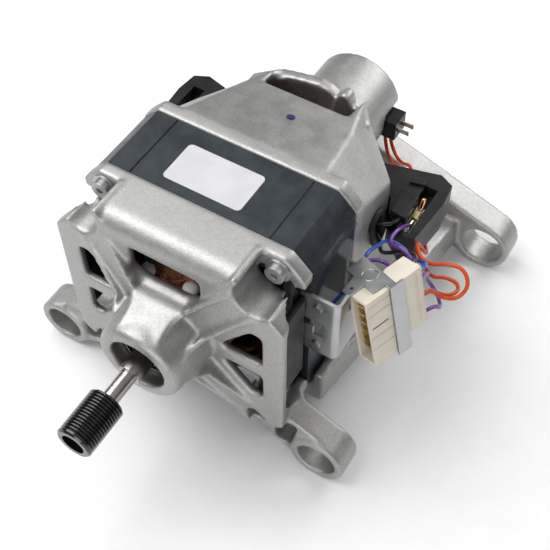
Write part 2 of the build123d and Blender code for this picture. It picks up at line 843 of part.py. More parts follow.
with BuildPart() as rear_end_frame:
    # Tapering shell
    with BuildSketch(across(shell_front_y)):
        add(rear_section(front_station, 0))
    with BuildSketch(across(shell_mid_y)):
        add(rear_section(mid_station, 0))
    with BuildSketch(across(rear_ring_y)):
        add(rear_section(rear_station, 0))
    loft(ruled=True)
    # Beams under the stack, each from a free front end back to its lug
    for side in (1, -1):
        with BuildSketch(across(stack_front_y + beam_front_gap)):
            with BuildLine():
                Polyline(
                    (side * beam_inner_x, beam_top_z), (side * beam_outer_x, beam_top_z),
                    (side * beam_outer_x, beam_low_z), (side * beam_foot_x, beam_low_z),
                    (side * beam_foot_x, beam_step_z), (side * beam_inner_x, beam_heel_z), close=True,
                )
            make_face()
        with BuildSketch(across(rear_lug_y)):
            with BuildLine():
                Polyline(
                    (side * beam_end_inner_x, beam_end_top_z),
                    (side * (beam_end_outer_x - edge_chamfer), beam_end_top_z - 2 * edge_chamfer),
                    (side * beam_end_outer_x, beam_end_low_z), (side * beam_end_foot_x, beam_end_low_z),
                    (side * beam_end_foot_x, beam_end_step_z),
                    (side * (beam_end_inner_x - 2 * edge_chamfer), beam_end_heel_z), close=True,
                )
            make_face()
        loft(ruled=True)
        # Pad and web that join the beam to the rim
        with BuildSketch(across(stack_rear_y)):
            with Locations((side * (pad_inner_x + beam_outer_x) / 2, (beam_top_z + pad_low_z) / 2)):
                Rectangle(beam_outer_x - pad_inner_x, beam_top_z - pad_low_z)
        extrude(amount=-rim_thickness)
        with BuildSketch(Plane.XY.offset(web_low_z)):
            with BuildLine():
                Polyline(
                    (side * rear_root_x, stack_rear_y + edge_chamfer),
                    (side * (beam_outer_x - edge_chamfer), stack_rear_y + edge_chamfer),
                    (side * (beam_end_inner_x + edge_chamfer), brush_plane_y),
                    (side * panel_half_width, brush_plane_y - web_taper), close=True,
                )
            make_face()
        extrude(amount=web_thickness)
        # Leg plate and lug
        with BuildSketch(across(rear_lug_y)):
            with Locations((side * rear_lug_x, rear_lug_z)):
                Circle(rear_lug_radius)
            with Locations((side * leg_root_x, leg_root_high_z), (side * leg_root_x, leg_root_low_z)):
                Circle(leg_root_round)
            make_hull()
        extrude(amount=-rear_lug_length)
    # Rim with the four threaded bosses
    with BuildSketch(across(stack_rear_y)):
        add(stack_sheet(rim_overlap))
    extrude(amount=-rim_thickness)
    # Inside of the shell
    with BuildSketch(across(shell_front_y)):
        add(rear_section(front_station, cast_wall))
    with BuildSketch(across(shell_mid_y - ring_web / 2)):
        add(rear_section(mid_station, cast_wall))
    with BuildSketch(across(rear_ring_y - ring_web)):
        add(rear_section(rear_station, cast_wall))
    loft(ruled=True, mode=Mode.SUBTRACT)
    with BuildSketch(across(stack_rear_y - overrun)):
        RectangleRounded(
            2 * rear_rim_inner_half_width, 2 * rear_rim_inner_half_height, rim_inner_round
        )
        for side, level in quadrants:
            with Locations((side * bolt_x, level * bolt_z)):
                Circle(bolt_boss_radius, mode=Mode.SUBTRACT)
    extrude(amount=-(rim_thickness + 2 * overrun), mode=Mode.SUBTRACT)
    # Slot across the top, with a slanting fin at each end of it
    with BuildSketch(across(rear_ring_y - slot_setback)):
        with Locations((0, slot_low_z + rim_half_height / 2)):
            Rectangle(2 * slot_half_width, rim_half_height)
    extrude(amount=-(slot_setback + overrun), mode=Mode.SUBTRACT)
    for side in (1, -1):
        with BuildSketch(Plane.XY.offset(fin_low_z)):
            with BuildLine():
                Polyline(
                    (side * fin_root_x, rear_ring_y - fin_root_setback),
                    (side * fin_end_x, rear_ring_y),
                    (side * fin_end_x, rear_ring_y + fin_thickness),
                    (side * fin_root_x, rear_ring_y - fin_root_setback + fin_thickness), close=True,
                )
            make_face()
        extrude(amount=fin_crest_z - fin_low_z)
    # Bearing ring, sleeve and sensor tube
    with BuildSketch(across(rear_ring_y - ring_web)):
        Circle(ring_radius)
    extrude(amount=-(ring_length + ring_web))
    with BuildSketch(across(ring_end_y)):
        Circle(tube_radius)
    extrude(amount=-(tube_length - ring_length))
    with BuildSketch(across(ring_end_y - ring_web)):
        Circle(tube_radius - tube_wall)
        Circle(bearing_outer_radius + bearing_sleeve_wall, mode=Mode.SUBTRACT)
    extrude(amount=-(tube_length + overrun), mode=Mode.SUBTRACT)
    with BuildSketch(across(rear_bearing_y + bearing_width + bearing_shoulder)):
        Circle(tube_radius - tube_wall)
    extrude(amount=-tube_length, mode=Mode.SUBTRACT)
    with BuildSketch(Plane.XY):
        with BuildLine():
            Polyline(
                (0, rear_ring_y - ring_web - overrun),
                (bearing_outer_radius, rear_ring_y - ring_web - overrun),
                (bearing_outer_radius, rear_bearing_y + bearing_width),
                (bearing_shoulder_radius, rear_bearing_y + bearing_width),
                (bearing_shoulder_radius, rear_bearing_y + bearing_width + 2 * bearing_shoulder),
                (0, rear_bearing_y + bearing_width + 2 * bearing_shoulder), close=True,
            )
        make_face()
    revolve(axis=Axis.Y, mode=Mode.SUBTRACT)
    # Notch of the tube for the sensor plug
    with BuildSketch(across(tube_end_y - sensor_notch_length)):
        with Locations((tube_radius, plug_z)):
            Rectangle(tube_radius, sensor_notch_width)
    extrude(amount=-(sensor_notch_length + overrun), mode=Mode.SUBTRACT)
    # Windows for the brush holders and the long hole for the leads
    for side in (1, -1):
        with BuildSketch(Plane.YZ.offset(side * holder_join_x)):
            with Locations((brush_window_y, holder_lift)):
                RectangleRounded(brush_window_length, 2 * brush_window_half_height, window_round)
        extrude(amount=side * slot_half_width, both=True, mode=Mode.SUBTRACT)
    with BuildSketch(kidney_plane):
        SlotOverall(kidney_length, kidney_width, rotation=kidney_turn)
    extrude(amount=2 * cast_wall, both=True, mode=Mode.SUBTRACT)
    # Lug bores and threaded screw holes
    with BuildSketch(across(rear_lug_y - overrun)):
        with Locations((rear_lug_x, rear_lug_z), (-rear_lug_x, rear_lug_z)):
            Circle(rear_lug_bore)
    extrude(amount=-(rear_lug_length + 2 * overrun), mode=Mode.SUBTRACT)
    with BuildSketch(across(stack_rear_y - overrun)):
        for side, level in quadrants:
            with Locations((side * bolt_x, level * bolt_z)):
                Circle(bolt_radius)
    extrude(amount=-(rim_thickness + 2 * overrun), mode=Mode.SUBTRACT)
tidy(rear_end_frame.part, "rear_end_frame")

# Stator stack with its bore, coil windows, screw holes and weld seams
with BuildPart() as stator_stack:
    with BuildSketch(across(stack_front_y)):
        add(stack_sheet(0))
        add(stack_opening(), mode=Mode.SUBTRACT)
        for side, level in quadrants:
            with Locations((side * bolt_x, level * bolt_z)):
                Circle(bolt_hole_radius, mode=Mode.SUBTRACT)
            with Locations((side * seam_x, level * stack_half_height)):
                Rectangle(seam_width, 2 * seam_depth, mode=Mode.SUBTRACT)
    extrude(amount=-stack_length)
tidy(stator_stack.part, "stator_stack")

# Field coils: a wire wound round each pole neck in two layers
coil_pitch = 2 * coil_wire_radius + coil_wire_gap
coil_half_x = pole_neck_half_width + coil_neck_gap + coil_wire_radius
coil_half_y = stack_length / 2 + coil_end_gap + coil_wire_radius
coil_mid_y = (stack_front_y + stack_rear_y) / 2
coil_top_z = stack_half_height - yoke_thickness - coil_roof_gap - coil_wire_radius
coil_low_z = coil_top_z - coil_pitch
for level, coil_label in ((1, "field_coil_upper"), (-1, "field_coil_lower")):
    points = [(coil_half_x, coil_mid_y, level * coil_low_z)]
    for turn in range(coil_turns):
        reach_x = coil_half_x + turn * coil_pitch
        reach_y = coil_half_y + turn * coil_pitch
        points.append((reach_x, coil_mid_y + reach_y, level * coil_low_z))
        points.append((-reach_x, coil_mid_y + reach_y, level * coil_low_z))
        points.append((-reach_x, coil_mid_y - reach_y, level * coil_low_z))
        if turn < coil_turns - 1:
            points.append((reach_x + coil_pitch, coil_mid_y - reach_y, level * coil_low_z))
        else:
            points.append((reach_x - coil_pitch, coil_mid_y - reach_y, level * coil_top_z))
    for turn in reversed(range(coil_turns - 1)):
        reach_x = coil_half_x + turn * coil_pitch
        reach_y = coil_half_y + turn * coil_pitch
        points.append((reach_x, coil_mid_y + reach_y, level * coil_top_z))
        points.append((-reach_x, coil_mid_y + reach_y, level * coil_top_z))
        points.append((-reach_x, coil_mid_y - reach_y, level * coil_top_z))
        if turn > 0:
            points.append((reach_x - coil_pitch, coil_mid_y - reach_y, level * coil_top_z))
        else:
            points.append((reach_x, coil_mid_y - reach_y, level * coil_top_z))
            points.append((reach_x, coil_mid_y, level * coil_top_z))
    with BuildPart() as field_coil:
        with BuildLine() as coil_line:
            FilletPolyline(*points, radius=coil_corner_radius)
        with BuildSketch(Plane(origin=coil_line.line @ 0, z_dir=coil_line.line % 0)):
            Circle(coil_wire_radius)
        sweep()
    tidy(field_coil.part, coil_label)
    print(coil_label, "volume", round(field_coil.part.volume),
          "section by length", round(math.pi * coil_wire_radius ** 2 * sum(edge.length for edge in coil_line.line.edges())))

# Coil insulators, trays against both faces of the stack
for insulator_label, start_y, toward in (
    ("front_coil_insulator", stack_front_y, -1), ("rear_coil_insulator", stack_rear_y, 1),
):
    with BuildPart() as insulator:
        with BuildSketch(across(start_y)) as insulator_base:
            RectangleRounded(
                2 * insulator_half_width if toward < 0 else 2 * rear_insulator_half_width,
                2 * insulator_half_height if toward < 0 else 2 * rear_insulator_half_height,
                insulator_round,
            )
            for side, level in quadrants:
                with Locations((side * bolt_x, level * bolt_z)):
                    Circle(bolt_boss_radius + slip_gap, mode=Mode.SUBTRACT)
            add(stack_opening(), mode=Mode.SUBTRACT)
            Circle(insulator_inner_radius, mode=Mode.SUBTRACT)
        extrude(amount=-toward * insulator_wall)
        with BuildSketch(across(start_y)):
            RectangleRounded(
                2 * insulator_half_width if toward < 0 else 2 * rear_insulator_half_width,
                2 * insulator_half_height if toward < 0 else 2 * rear_insulator_half_height,
                insulator_round,
            )
            for side, level in quadrants:
                with Locations((side * bolt_x, level * bolt_z)):
                    Circle(bolt_boss_radius + slip_gap, mode=Mode.SUBTRACT)
            offset(amount=-insulator_wall, mode=Mode.SUBTRACT)
        extrude(amount=-toward * insulator_length)
        if toward < 0:
            with BuildSketch(across(start_y)):
                with Locations((finger_x, finger_z), (-finger_x, finger_z)):
                    Circle(finger_radius)
            extrude(amount=finger_length)
            with BuildSketch(across(start_y)):
                with Locations((finger_x, finger_z), (-finger_x, finger_z)):
                    Rectangle(2 * finger_radius, 2 * finger_radius)
                    with Locations((0, finger_radius)):
                        Rectangle(2 * finger_radius, 2 * finger_radius)
                Circle(insulator_inner_radius, mode=Mode.SUBTRACT)
            extrude(amount=insulator_wall)
    tidy(insulator.part, insulator_label)

# Clear film over the right side of the stack, with its fold
film_x = stack_half_width + film_gap
film_front_y = stack_front_y + film_gap
film_width = stack_length - 2 * film_gap
film_corner_z = math.sqrt(stack_corner_radius ** 2 - stack_half_width ** 2)
with BuildPart() as insulating_film:
    with BuildSketch(across(film_front_y)):
        with BuildLine():
            Polyline(
                (film_x, film_low_z), (film_x + film_thickness, film_low_z),
                (film_x + film_thickness, film_fold_z - film_fold_height),
                (film_x + film_fold_height, film_fold_z),
                (film_x + film_thickness, film_fold_z + film_fold_height / 2),
                (film_x + film_thickness, film_corner_z + film_gap),
                (film_start_x + film_thickness, film_start_z + film_thickness),
                (film_start_x, film_start_z), (film_x, film_corner_z), close=True,
            )
        make_face()
    extrude(amount=-film_width)
tidy(insulating_film.part, "insulating_film")

# Sticker without print on top of the stack
with BuildPart() as stack_sticker:
    with BuildSketch(Plane.XY.offset(stack_half_height)):
        with Locations((sticker_x, stack_front_y + sticker_lead + sticker_length / 2)):
            RectangleRounded(sticker_width, sticker_length, sticker_round)
    extrude(amount=sticker_thickness)
tidy(stack_sticker.part, "stack_sticker")

# Shaft, stepped
shaft_front_y = pulley_core_depth - pulley_front
with BuildPart() as shaft:
    with BuildSketch(Plane.XY):
        with BuildLine():
            Polyline(
                (0, shaft_front_y), (shaft_nose_radius, shaft_front_y),
                (shaft_nose_radius, hub_face_y - shaft_step_lead),
                (bearing_bore_radius, hub_face_y - shaft_step_lead),
                (bearing_bore_radius, nose_floor_y), (shaft_core_radius, nose_floor_y),
                (shaft_core_radius, rear_bearing_y), (bearing_bore_radius, rear_bearing_y),
                (bearing_bore_radius, rear_bearing_y + bearing_width + bearing_shoulder),
                (shaft_tail_radius, rear_bearing_y + bearing_width + bearing_shoulder),
                (shaft_tail_radius, magnet_end_y), (0, magnet_end_y), close=True,
            )
        make_face()
    revolve(axis=Axis.Y)
tidy(shaft.part, "shaft")

# Rotor core with its wire slots
with BuildPart() as rotor_core:
    with BuildSketch(across(stack_front_y)):
        add(slotted_sheet(rotor_radius, 0))
    extrude(amount=-stack_length)
tidy(rotor_core.part, "rotor_core")

# Insulating discs at both ends of the core
with BuildPart() as armature_end_discs:
    with BuildSketch(across(stack_front_y - disc_thickness)):
        add(slotted_sheet(disc_radius, 0))
    extrude(amount=-disc_thickness)
    with BuildSketch(across(stack_rear_y)):
        add(slotted_sheet(disc_radius, 0))
    extrude(amount=-disc_thickness)
tidy(armature_end_discs.part, "armature_end_discs")

# Armature winding: two round heads, the slot wires between them and the cone of leads
winding_front_y = stack_front_y - disc_thickness
winding_rear_y = stack_rear_y + disc_thickness
with BuildPart() as armature_winding:
    with BuildSketch(Plane.XY):
        with BuildLine():
            Polyline(
                (shaft_core_radius, winding_front_y), (winding_radius, winding_front_y),
                (winding_radius, winding_front_y - winding_front_length + winding_round),
                (winding_radius - winding_round, winding_front_y - winding_front_length),
                (winding_neck_radius, winding_front_y - winding_front_length + winding_round / 3),
                (shaft_core_radius, winding_front_y - winding_front_length + winding_round),
                close=True,
            )
        make_face()
        with BuildLine():
            Polyline(
                (shaft_core_radius, winding_rear_y), (winding_radius, winding_rear_y),
                (winding_radius, winding_rear_y + winding_rear_length - winding_round),
                (winding_radius - winding_round, winding_rear_y + winding_rear_length),
                (lead_cone_start_radius, winding_rear_y + winding_rear_length),
                (commutator_radius, commutator_front_y), (shaft_core_radius, commutator_front_y),
                close=True,
            )
        make_face()
    revolve(axis=Axis.Y)
    with BuildSketch(across(winding_front_y)):
        with PolarLocations(rotor_radius - core_lip - core_slot_depth / 2, core_slots):
            RectangleRounded(
                core_slot_depth - 2 * liner_gap, core_slot_width - 2 * liner_gap,
                core_slot_width / 4,
            )
        Circle(winding_radius, mode=Mode.INTERSECT)
    extrude(amount=-(winding_rear_y - winding_front_y))
tidy(armature_winding.part, "armature_winding")

# Commutator with slits between its bars, and its riser
with BuildPart() as commutator:
    with BuildSketch(across(commutator_front_y)):
        Circle(commutator_radius + riser_height)
        Circle(shaft_core_radius, mode=Mode.SUBTRACT)
        with PolarLocations(commutator_radius + riser_height, commutator_bars):
            Rectangle(2 * riser_height, commutator_slot_width, mode=Mode.SUBTRACT)
    extrude(amount=-riser_length)
    with BuildSketch(across(commutator_front_y + riser_length)):
        Circle(commutator_radius)
        Circle(shaft_core_radius, mode=Mode.SUBTRACT)
        with PolarLocations(commutator_radius, commutator_bars):
            Rectangle(2 * commutator_slot_depth, commutator_slot_width, mode=Mode.SUBTRACT)
    extrude(amount=-(commutator_rear_y - commutator_front_y - riser_length))
tidy(commutator.part, "commutator")

# Belt pulley, its ribs a row of blunt V shapes
rib_start_y = -rib_count * rib_pitch / 2
rib_points = []
for rib in range(rib_count):
    rib_y = rib_start_y + rib * rib_pitch
    rib_points.append((pulley_radius - rib_depth, rib_y))
    rib_points.append((pulley_radius, rib_y + (rib_pitch - rib_crest_width) / 2))
    rib_points.append((pulley_radius, rib_y + (rib_pitch + rib_crest_width) / 2))
with BuildPart() as pulley:
    with BuildSketch(Plane.XY):
        with BuildLine():
            Polyline(
                (pulley_bore_radius, -pulley_front), (pulley_radius - pulley_chamfer, -pulley_front),
                (pulley_radius, pulley_chamfer - pulley_front), (pulley_radius, rib_start_y - edge_chamfer),
                *rib_points, (pulley_radius - rib_depth, -rib_start_y),
                (pulley_radius - rib_depth, pulley_rear), (shaft_nose_radius, pulley_rear),
                (shaft_nose_radius, shaft_front_y), (pulley_bore_radius, shaft_front_y), close=True,
            )
        make_face()
    revolve(axis=Axis.Y)
tidy(pulley.part, "pulley")

# Magnet of the speed sensor, on the shaft's tail
with BuildPart() as sensor_magnet:
    with BuildSketch(across(magnet_end_y - magnet_length)):
        Circle(magnet_radius)
        Circle(shaft_tail_radius, mode=Mode.SUBTRACT)
    extrude(amount=-magnet_length)
tidy(sensor_magnet.part, "sensor_magnet")

# Ball bearings: outer rings, inner rings and balls
ball_circle = (bearing_bore_radius + bearing_outer_radius) / 2
for end_label, seat_y in (("front", front_bearing_y), ("rear", rear_bearing_y)):
    mid_y = seat_y + bearing_width / 2
    with BuildPart() as outer_ring:
        with BuildSketch(across(seat_y)):
            Circle(bearing_outer_radius)
            Circle(bearing_outer_radius - bearing_ring_wall, mode=Mode.SUBTRACT)
        extrude(amount=-bearing_width)
        with BuildSketch(Plane.XY):
            with Locations((ball_circle, mid_y)):
                Circle(bearing_ball_radius + running_gap)
        revolve(axis=Axis.Y, mode=Mode.SUBTRACT)
    tidy(outer_ring.part, end_label + "_bearing_outer_ring")
    with BuildPart() as inner_ring:
        with BuildSketch(across(seat_y)):
            Circle(bearing_bore_radius + bearing_ring_wall)
            Circle(bearing_bore_radius, mode=Mode.SUBTRACT)
        extrude(amount=-bearing_width)
        with BuildSketch(Plane.XY):
            with Locations((ball_circle, mid_y)):
                Circle(bearing_ball_radius + running_gap)
        revolve(axis=Axis.Y, mode=Mode.SUBTRACT)
    tidy(inner_ring.part, end_label + "_bearing_inner_ring")
    with BuildPart() as balls:
        for ball in range(bearing_ball_count):
            turn = math.radians(360 / bearing_ball_count * ball)
            with Locations((ball_circle * math.cos(turn), mid_y, ball_circle * math.sin(turn))):
                Sphere(bearing_ball_radius)
    tidy(balls.part, end_label + "_bearing_balls")

# Frame screws and their washers
washer_y = rim_front_y - washer_thickness
with BuildPart() as frame_screws:
    with BuildSketch(across(washer_y)):
        for side, level in quadrants:
            with Locations((side * bolt_x, level * bolt_z)):
                Circle(bolt_radius)
    extrude(amount=-(stack_rear_y + screw_engagement - washer_y))
    with BuildSketch(across(washer_y - screw_head_height)):
        for side, level in quadrants:
            with Locations((side * bolt_x, level * bolt_z)):
                Circle(screw_head_radius)
    extrude(amount=-screw_head_height)
    with BuildSketch(across(washer_y - screw_head_height)):
        for side, level in quadrants:
            with Locations((side * bolt_x, level * bolt_z)):
                RegularPolygon(screw_socket_radius, 6)
    extrude(amount=-screw_socket_depth, mode=Mode.SUBTRACT)
tidy(frame_screws.part, "frame_screws")
with BuildPart() as screw_washers:
    with BuildSketch(across(washer_y)):
        for side, level in quadrants:
            with Locations((side * bolt_x, level * bolt_z)):
                Circle(washer_radius)
                Circle(bolt_hole_radius, mode=Mode.SUBTRACT)
    extrude(amount=-washer_thickness)
tidy(screw_washers.part, "screw_washers")

# Side bracket, bent from sheet, with a crooked slot in its front flange
bracket_side_x = stack_half_width + bracket_reach + bracket_sheet
bracket_front_y = stack_front_y - bracket_sheet
bracket_rear_y = bracket_front_y + bracket_length
with BuildPart() as side_bracket:
    with BuildSketch(Plane.XY.offset(bracket_low_z)):
        with BuildLine():
            bracket_line = FilletPolyline(
                (stack_half_width - bracket_lap, bracket_front_y + bracket_sheet / 2),
                (bracket_side_x - bracket_sheet / 2, bracket_front_y + bracket_sheet / 2),
                (bracket_side_x - bracket_sheet / 2, bracket_rear_y - bracket_sheet / 2),
                (stack_half_width + film_fold_height, bracket_rear_y - bracket_sheet / 2),
                radius=bracket_bend,
            )
        trace(line_width=bracket_sheet)
    extrude(amount=bracket_top_z - bracket_low_z)
    with BuildSketch(Plane.YZ.offset(stack_half_width + edge_chamfer)):
        with Locations((bracket_front_y + bracket_notch_lead + stack_length / 2,
                        bracket_notch_z + bracket_reach)):
            Rectangle(stack_length, 2 * bracket_reach)
    extrude(amount=2 * bracket_reach, mode=Mode.SUBTRACT)
    with BuildSketch(across(bracket_front_y - overrun)):
        with Locations((stack_half_width - bracket_lap, bracket_slot_z)):
            Rectangle(2 * bracket_slot_reach, bracket_slot_width)
        with Locations((stack_half_width - bracket_lap + bracket_slot_reach - bracket_slot_width / 2,
                        bracket_slot_z - bracket_slot_drop / 2)):
            Rectangle(bracket_slot_width, bracket_slot_drop + bracket_slot_width)
    extrude(amount=-(bracket_sheet + 2 * overrun), mode=Mode.SUBTRACT)
    with BuildSketch(across(bracket_front_y - overrun)):
        with Locations((rivet_x, rivet_high_z), (rivet_x, rivet_low_z)):
            Circle(rivet_shank_radius)
    extrude(amount=-(bracket_sheet + 2 * overrun), mode=Mode.SUBTRACT)
tidy(side_bracket.part, "side_bracket")
with BuildPart() as bracket_rivets:
    with BuildSketch(across(bracket_front_y - rivet_height)):
        with Locations((rivet_x, rivet_high_z), (rivet_x, rivet_low_z)):
            Circle(rivet_radius)
    extrude(amount=-rivet_height)
    with BuildSketch(across(bracket_front_y)):
        with Locations((rivet_x, rivet_high_z), (rivet_x, rivet_low_z)):
            Circle(rivet_shank_radius)
    extrude(amount=-bracket_sheet)
    with BuildSketch(across(bracket_front_y + bracket_sheet)):
        with Locations((rivet_x, rivet_high_z), (rivet_x, rivet_low_z)):
            Circle(rivet_radius)
    extrude(amount=-rivet_height)
tidy(bracket_rivets.part, "bracket_rivets")

# Terminal block: front socket part, waist and raised rear part
with BuildPart() as terminal_block:
    with BuildSketch(on_block(Plane.XY)):
        with Locations((block_width / 2, block_front_depth / 2)):
            Rectangle(block_width, block_front_depth)
    extrude(amount=block_height)
    with BuildSketch(on_block(Plane.XY)):
        with Locations((block_width / 2, block_front_depth + block_waist_depth / 2)):
            Rectangle(block_width - 2 * block_waist_inset, block_waist_depth)
    extrude(amount=block_height)
    with BuildSketch(on_block(Plane.XY.offset(block_rear_lift))):
        with Locations((block_width / 2, block_depth - block_rear_depth / 2)):
            Rectangle(block_width, block_rear_depth)
    extrude(amount=block_height - block_rear_lift)
    with BuildSketch(on_block(Plane.XZ.offset(overrun))):
        with Locations((block_width / 2, block_height / 2)):
            Rectangle(block_width - 2 * block_wall, block_height - 2 * block_wall)
    extrude(amount=-(block_socket_depth + overrun), mode=Mode.SUBTRACT)
    with BuildSketch(on_block(Plane.XZ.offset(-block_socket_depth + overrun))):
        for pin in range(pin_count):
            with Locations((pin_across, pin_first + pin * pin_pitch)):
                Rectangle(pin_blade, pin_width)
    extrude(amount=-(pin_root + overrun), mode=Mode.SUBTRACT)
    for routes in lead_routes.values():
        for route in routes:
            for end, inner in ((route[0], route[1]), (route[-1], route[-2])):
                if stack_front_y < end[1] < stack_rear_y:
                    with BuildSketch(Plane(origin=end, z_dir=Vector(*inner) - Vector(*end))):
                        Circle(lead_radius + liner_gap)
                    extrude(amount=lead_bore_depth, mode=Mode.SUBTRACT)
tidy(terminal_block.part, "terminal_block")
with BuildPart() as terminal_pins:
    with BuildSketch(on_block(Plane.XZ.offset(pin_length - block_socket_depth))):
        for pin in range(pin_count):
            with Locations((pin_across, pin_first + pin * pin_pitch)):
                Rectangle(pin_blade, pin_width)
    extrude(amount=-(pin_length + pin_root))
tidy(terminal_pins.part, "terminal_pins")

# Carrier plate over the block, with a strip down its outer side and a foot on the bracket
carrier_z = block_height + carrier_gap
with BuildPart() as terminal_carrier:
    with BuildSketch(on_block(Plane.XY.offset(carrier_z))):
        with BuildLine():
            Polyline(*carrier_outline, close=True)
        make_face()
        with Locations(carrier_hole):
            Circle(carrier_tab_hole, mode=Mode.SUBTRACT)
    extrude(amount=carrier_sheet)
    with BuildSketch(on_block(Plane.XY.offset(-carrier_foot / 4))):
        with Locations((block_width + carrier_gap + carrier_sheet / 2,
                        block_front_depth + block_waist_depth / 2)):
            Rectangle(carrier_sheet, block_waist_depth)
    extrude(amount=carrier_z + carrier_sheet + carrier_foot / 4)
    with BuildSketch(Plane.XY.offset(carrier_foot_low_z)):
        with Locations((bracket_side_x + carrier_sheet / 2, carrier_foot_y)):
            Rectangle(carrier_sheet, carrier_foot)
    extrude(amount=carrier_foot_top_z - carrier_foot_low_z)
tidy(terminal_carrier.part, "terminal_carrier")

# Brush holders, brushes, springs and terminal strips on both sides
for side, side_label in ((1, "right"), (-1, "left")):
    with BuildPart() as holder:
        with BuildSketch(Plane.XY.offset(holder_low_z)):
            with BuildLine():
                Polyline(*[(side * x, brush_plane_y + y) for x, y in holder_outline], close=True)
            make_face()
        extrude(amount=holder_top_z - holder_low_z)
        with BuildSketch(Plane.YZ.offset(side * holder_start_x)):
            with Locations((brush_plane_y, 0)):
                Rectangle(
                    brush_width + 2 * holder_wall + 2 * brush_slide_gap,
                    brush_thickness + 2 * holder_wall + 2 * brush_slide_gap,
                )
        extrude(amount=side * (holder_join_x - holder_start_x + overrun))
        with BuildSketch(Plane.YZ.offset(side * (holder_start_x - overrun))):
            with Locations((brush_plane_y, 0)):
                Rectangle(brush_width + 2 * brush_slide_gap, brush_thickness + 2 * brush_slide_gap)
        extrude(amount=side * (holder_cavity_end_x - holder_start_x + overrun), mode=Mode.SUBTRACT)
        with BuildSketch(Plane.XY.offset(holder_slot_floor_z)):
            with Locations((side * (holder_slot_x + holder_cavity_end_x) / 2,
                            brush_plane_y + (holder_slot_rear - holder_slot_front) / 2)):
                Rectangle(holder_cavity_end_x - holder_slot_x, holder_slot_front + holder_slot_rear)
        extrude(amount=holder_top_z - holder_slot_floor_z, mode=Mode.SUBTRACT)
    tidy(holder.part, "brush_holder_" + side_label)
    with BuildPart() as strip:
        with BuildSketch(Plane.XY.offset(holder_slot_floor_z)):
            with Locations((side * (holder_slot_x + holder_cavity_end_x) / 2,
                            brush_plane_y - holder_slot_front + holder_strip_margin * 2
                            + holder_strip_length / 2)):
                Rectangle(
                    holder_cavity_end_x - holder_slot_x - 2 * holder_strip_margin,
                    holder_strip_length,
                )
        extrude(amount=holder_strip_thickness)
    tidy(strip.part, "brush_terminal_" + side_label)
    brush_start_x = commutator_radius + brush_gap
    with BuildPart() as brush:
        with BuildSketch(Plane.YZ.offset(side * brush_start_x)):
            with Locations((brush_plane_y, 0)):
                Rectangle(brush_width, brush_thickness)
        extrude(amount=side * brush_length)
    tidy(brush.part, "carbon_brush_" + side_label)
    with BuildPart() as spring:
        with BuildSketch(Plane.YZ.offset(side * (brush_start_x + brush_length))):
            with Locations((brush_plane_y, 0)):
                Circle(spring_radius)
                Circle(spring_radius - 2 * spring_wire_radius, mode=Mode.SUBTRACT)
        extrude(amount=side * (holder_cavity_end_x - brush_start_x - brush_length))
    tidy(spring.part, "brush_spring_" + side_label)

# Speed sensor: coil ring in the tube, plug with two prongs, and cap
with BuildPart() as sensor_coil:
    with BuildSketch(across(sensor_y)):
        Circle(sensor_bobbin_outer)
        Circle(sensor_bobbin_inner, mode=Mode.SUBTRACT)
    extrude(amount=-sensor_bobbin_length)
tidy(sensor_coil.part, "sensor_coil")
with BuildPart() as sensor_plug:
    with BuildSketch(across(sensor_y + slip_gap)):
        with Locations((plug_start_x + plug_reach / 2, plug_z)):
            Rectangle(plug_reach, plug_width)
        Circle(sensor_bobbin_outer, mode=Mode.SUBTRACT)
    extrude(amount=-plug_length)
tidy(sensor_plug.part, "sensor_plug")
with BuildPart() as sensor_prongs:
    with BuildSketch(Plane.YZ.offset(plug_start_x + plug_reach)):
        with Locations((sensor_y + slip_gap + prong_lead, plug_z),
                       (sensor_y + slip_gap + plug_length - prong_lead, plug_z)):
            Rectangle(prong_thickness, prong_width)
    extrude(amount=prong_length)
tidy(sensor_prongs.part, "sensor_prongs")
with BuildPart() as sensor_cap:
    with BuildSketch(across(sensor_y + sensor_bobbin_length)):
        Circle(tube_radius - tube_wall)
    extrude(amount=-sensor_cap_thickness)
tidy(sensor_cap.part, "sensor_cap")

# Rubber grommet in the long hole
with BuildPart() as lead_grommet:
    with BuildSketch(kidney_plane.offset(slip_gap)):
        SlotOverall(
            kidney_length + 2 * grommet_lip, kidney_width + 2 * grommet_lip, rotation=kidney_turn
        )
    extrude(amount=grommet_rise)
    with BuildSketch(kidney_plane.offset(slip_gap)):
        SlotOverall(kidney_length, kidney_width, rotation=kidney_turn)
    extrude(amount=-grommet_depth)
    with BuildSketch(kidney_plane.offset(-grommet_depth)):
        SlotOverall(
            kidney_length - 2 * grommet_wall, kidney_width - 2 * grommet_wall, rotation=kidney_turn
        )
    extrude(amount=grommet_depth + 2 * grommet_rise, mode=Mode.SUBTRACT)
tidy(lead_grommet.part, "lead_grommet")

# Leads, each a tube along straight runs joined by bends
for lead_label, routes in lead_routes.items():
    with BuildPart() as leads:
        for route in routes:
            corners = [Vector(*point) for point in route]
            bends = []
            for before, corner, after in zip(corners, corners[1:], corners[2:]):
                turn_angle = math.radians((corner - before).get_angle(after - corner))
                shorter = min((corner - before).length, (after - corner).length)
                bends.append(lead_bend_share * shorter / math.tan(turn_angle / 2))
            with BuildLine() as lead_line:
                FilletPolyline(*corners, radius=bends)
            with BuildSketch(Plane(origin=lead_line.line @ 0, z_dir=lead_line.line % 0)):
                Circle(lead_radius)
            sweep()
            lead_length = sum(edge.length for edge in lead_line.line.edges())
            print(lead_label, "length", round(lead_length), "radii", [round(bend, 1) for bend in bends],
                  "section by length", round(math.pi * lead_radius ** 2 * lead_length))
    print(lead_label, "volume", round(leads.part.volume), "solids", len(leads.part.solids()))
    tidy(leads.part, lead_label)
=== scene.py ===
import bmesh
import bpy
import json
import math
import numpy as np
from mathutils import Matrix, Vector


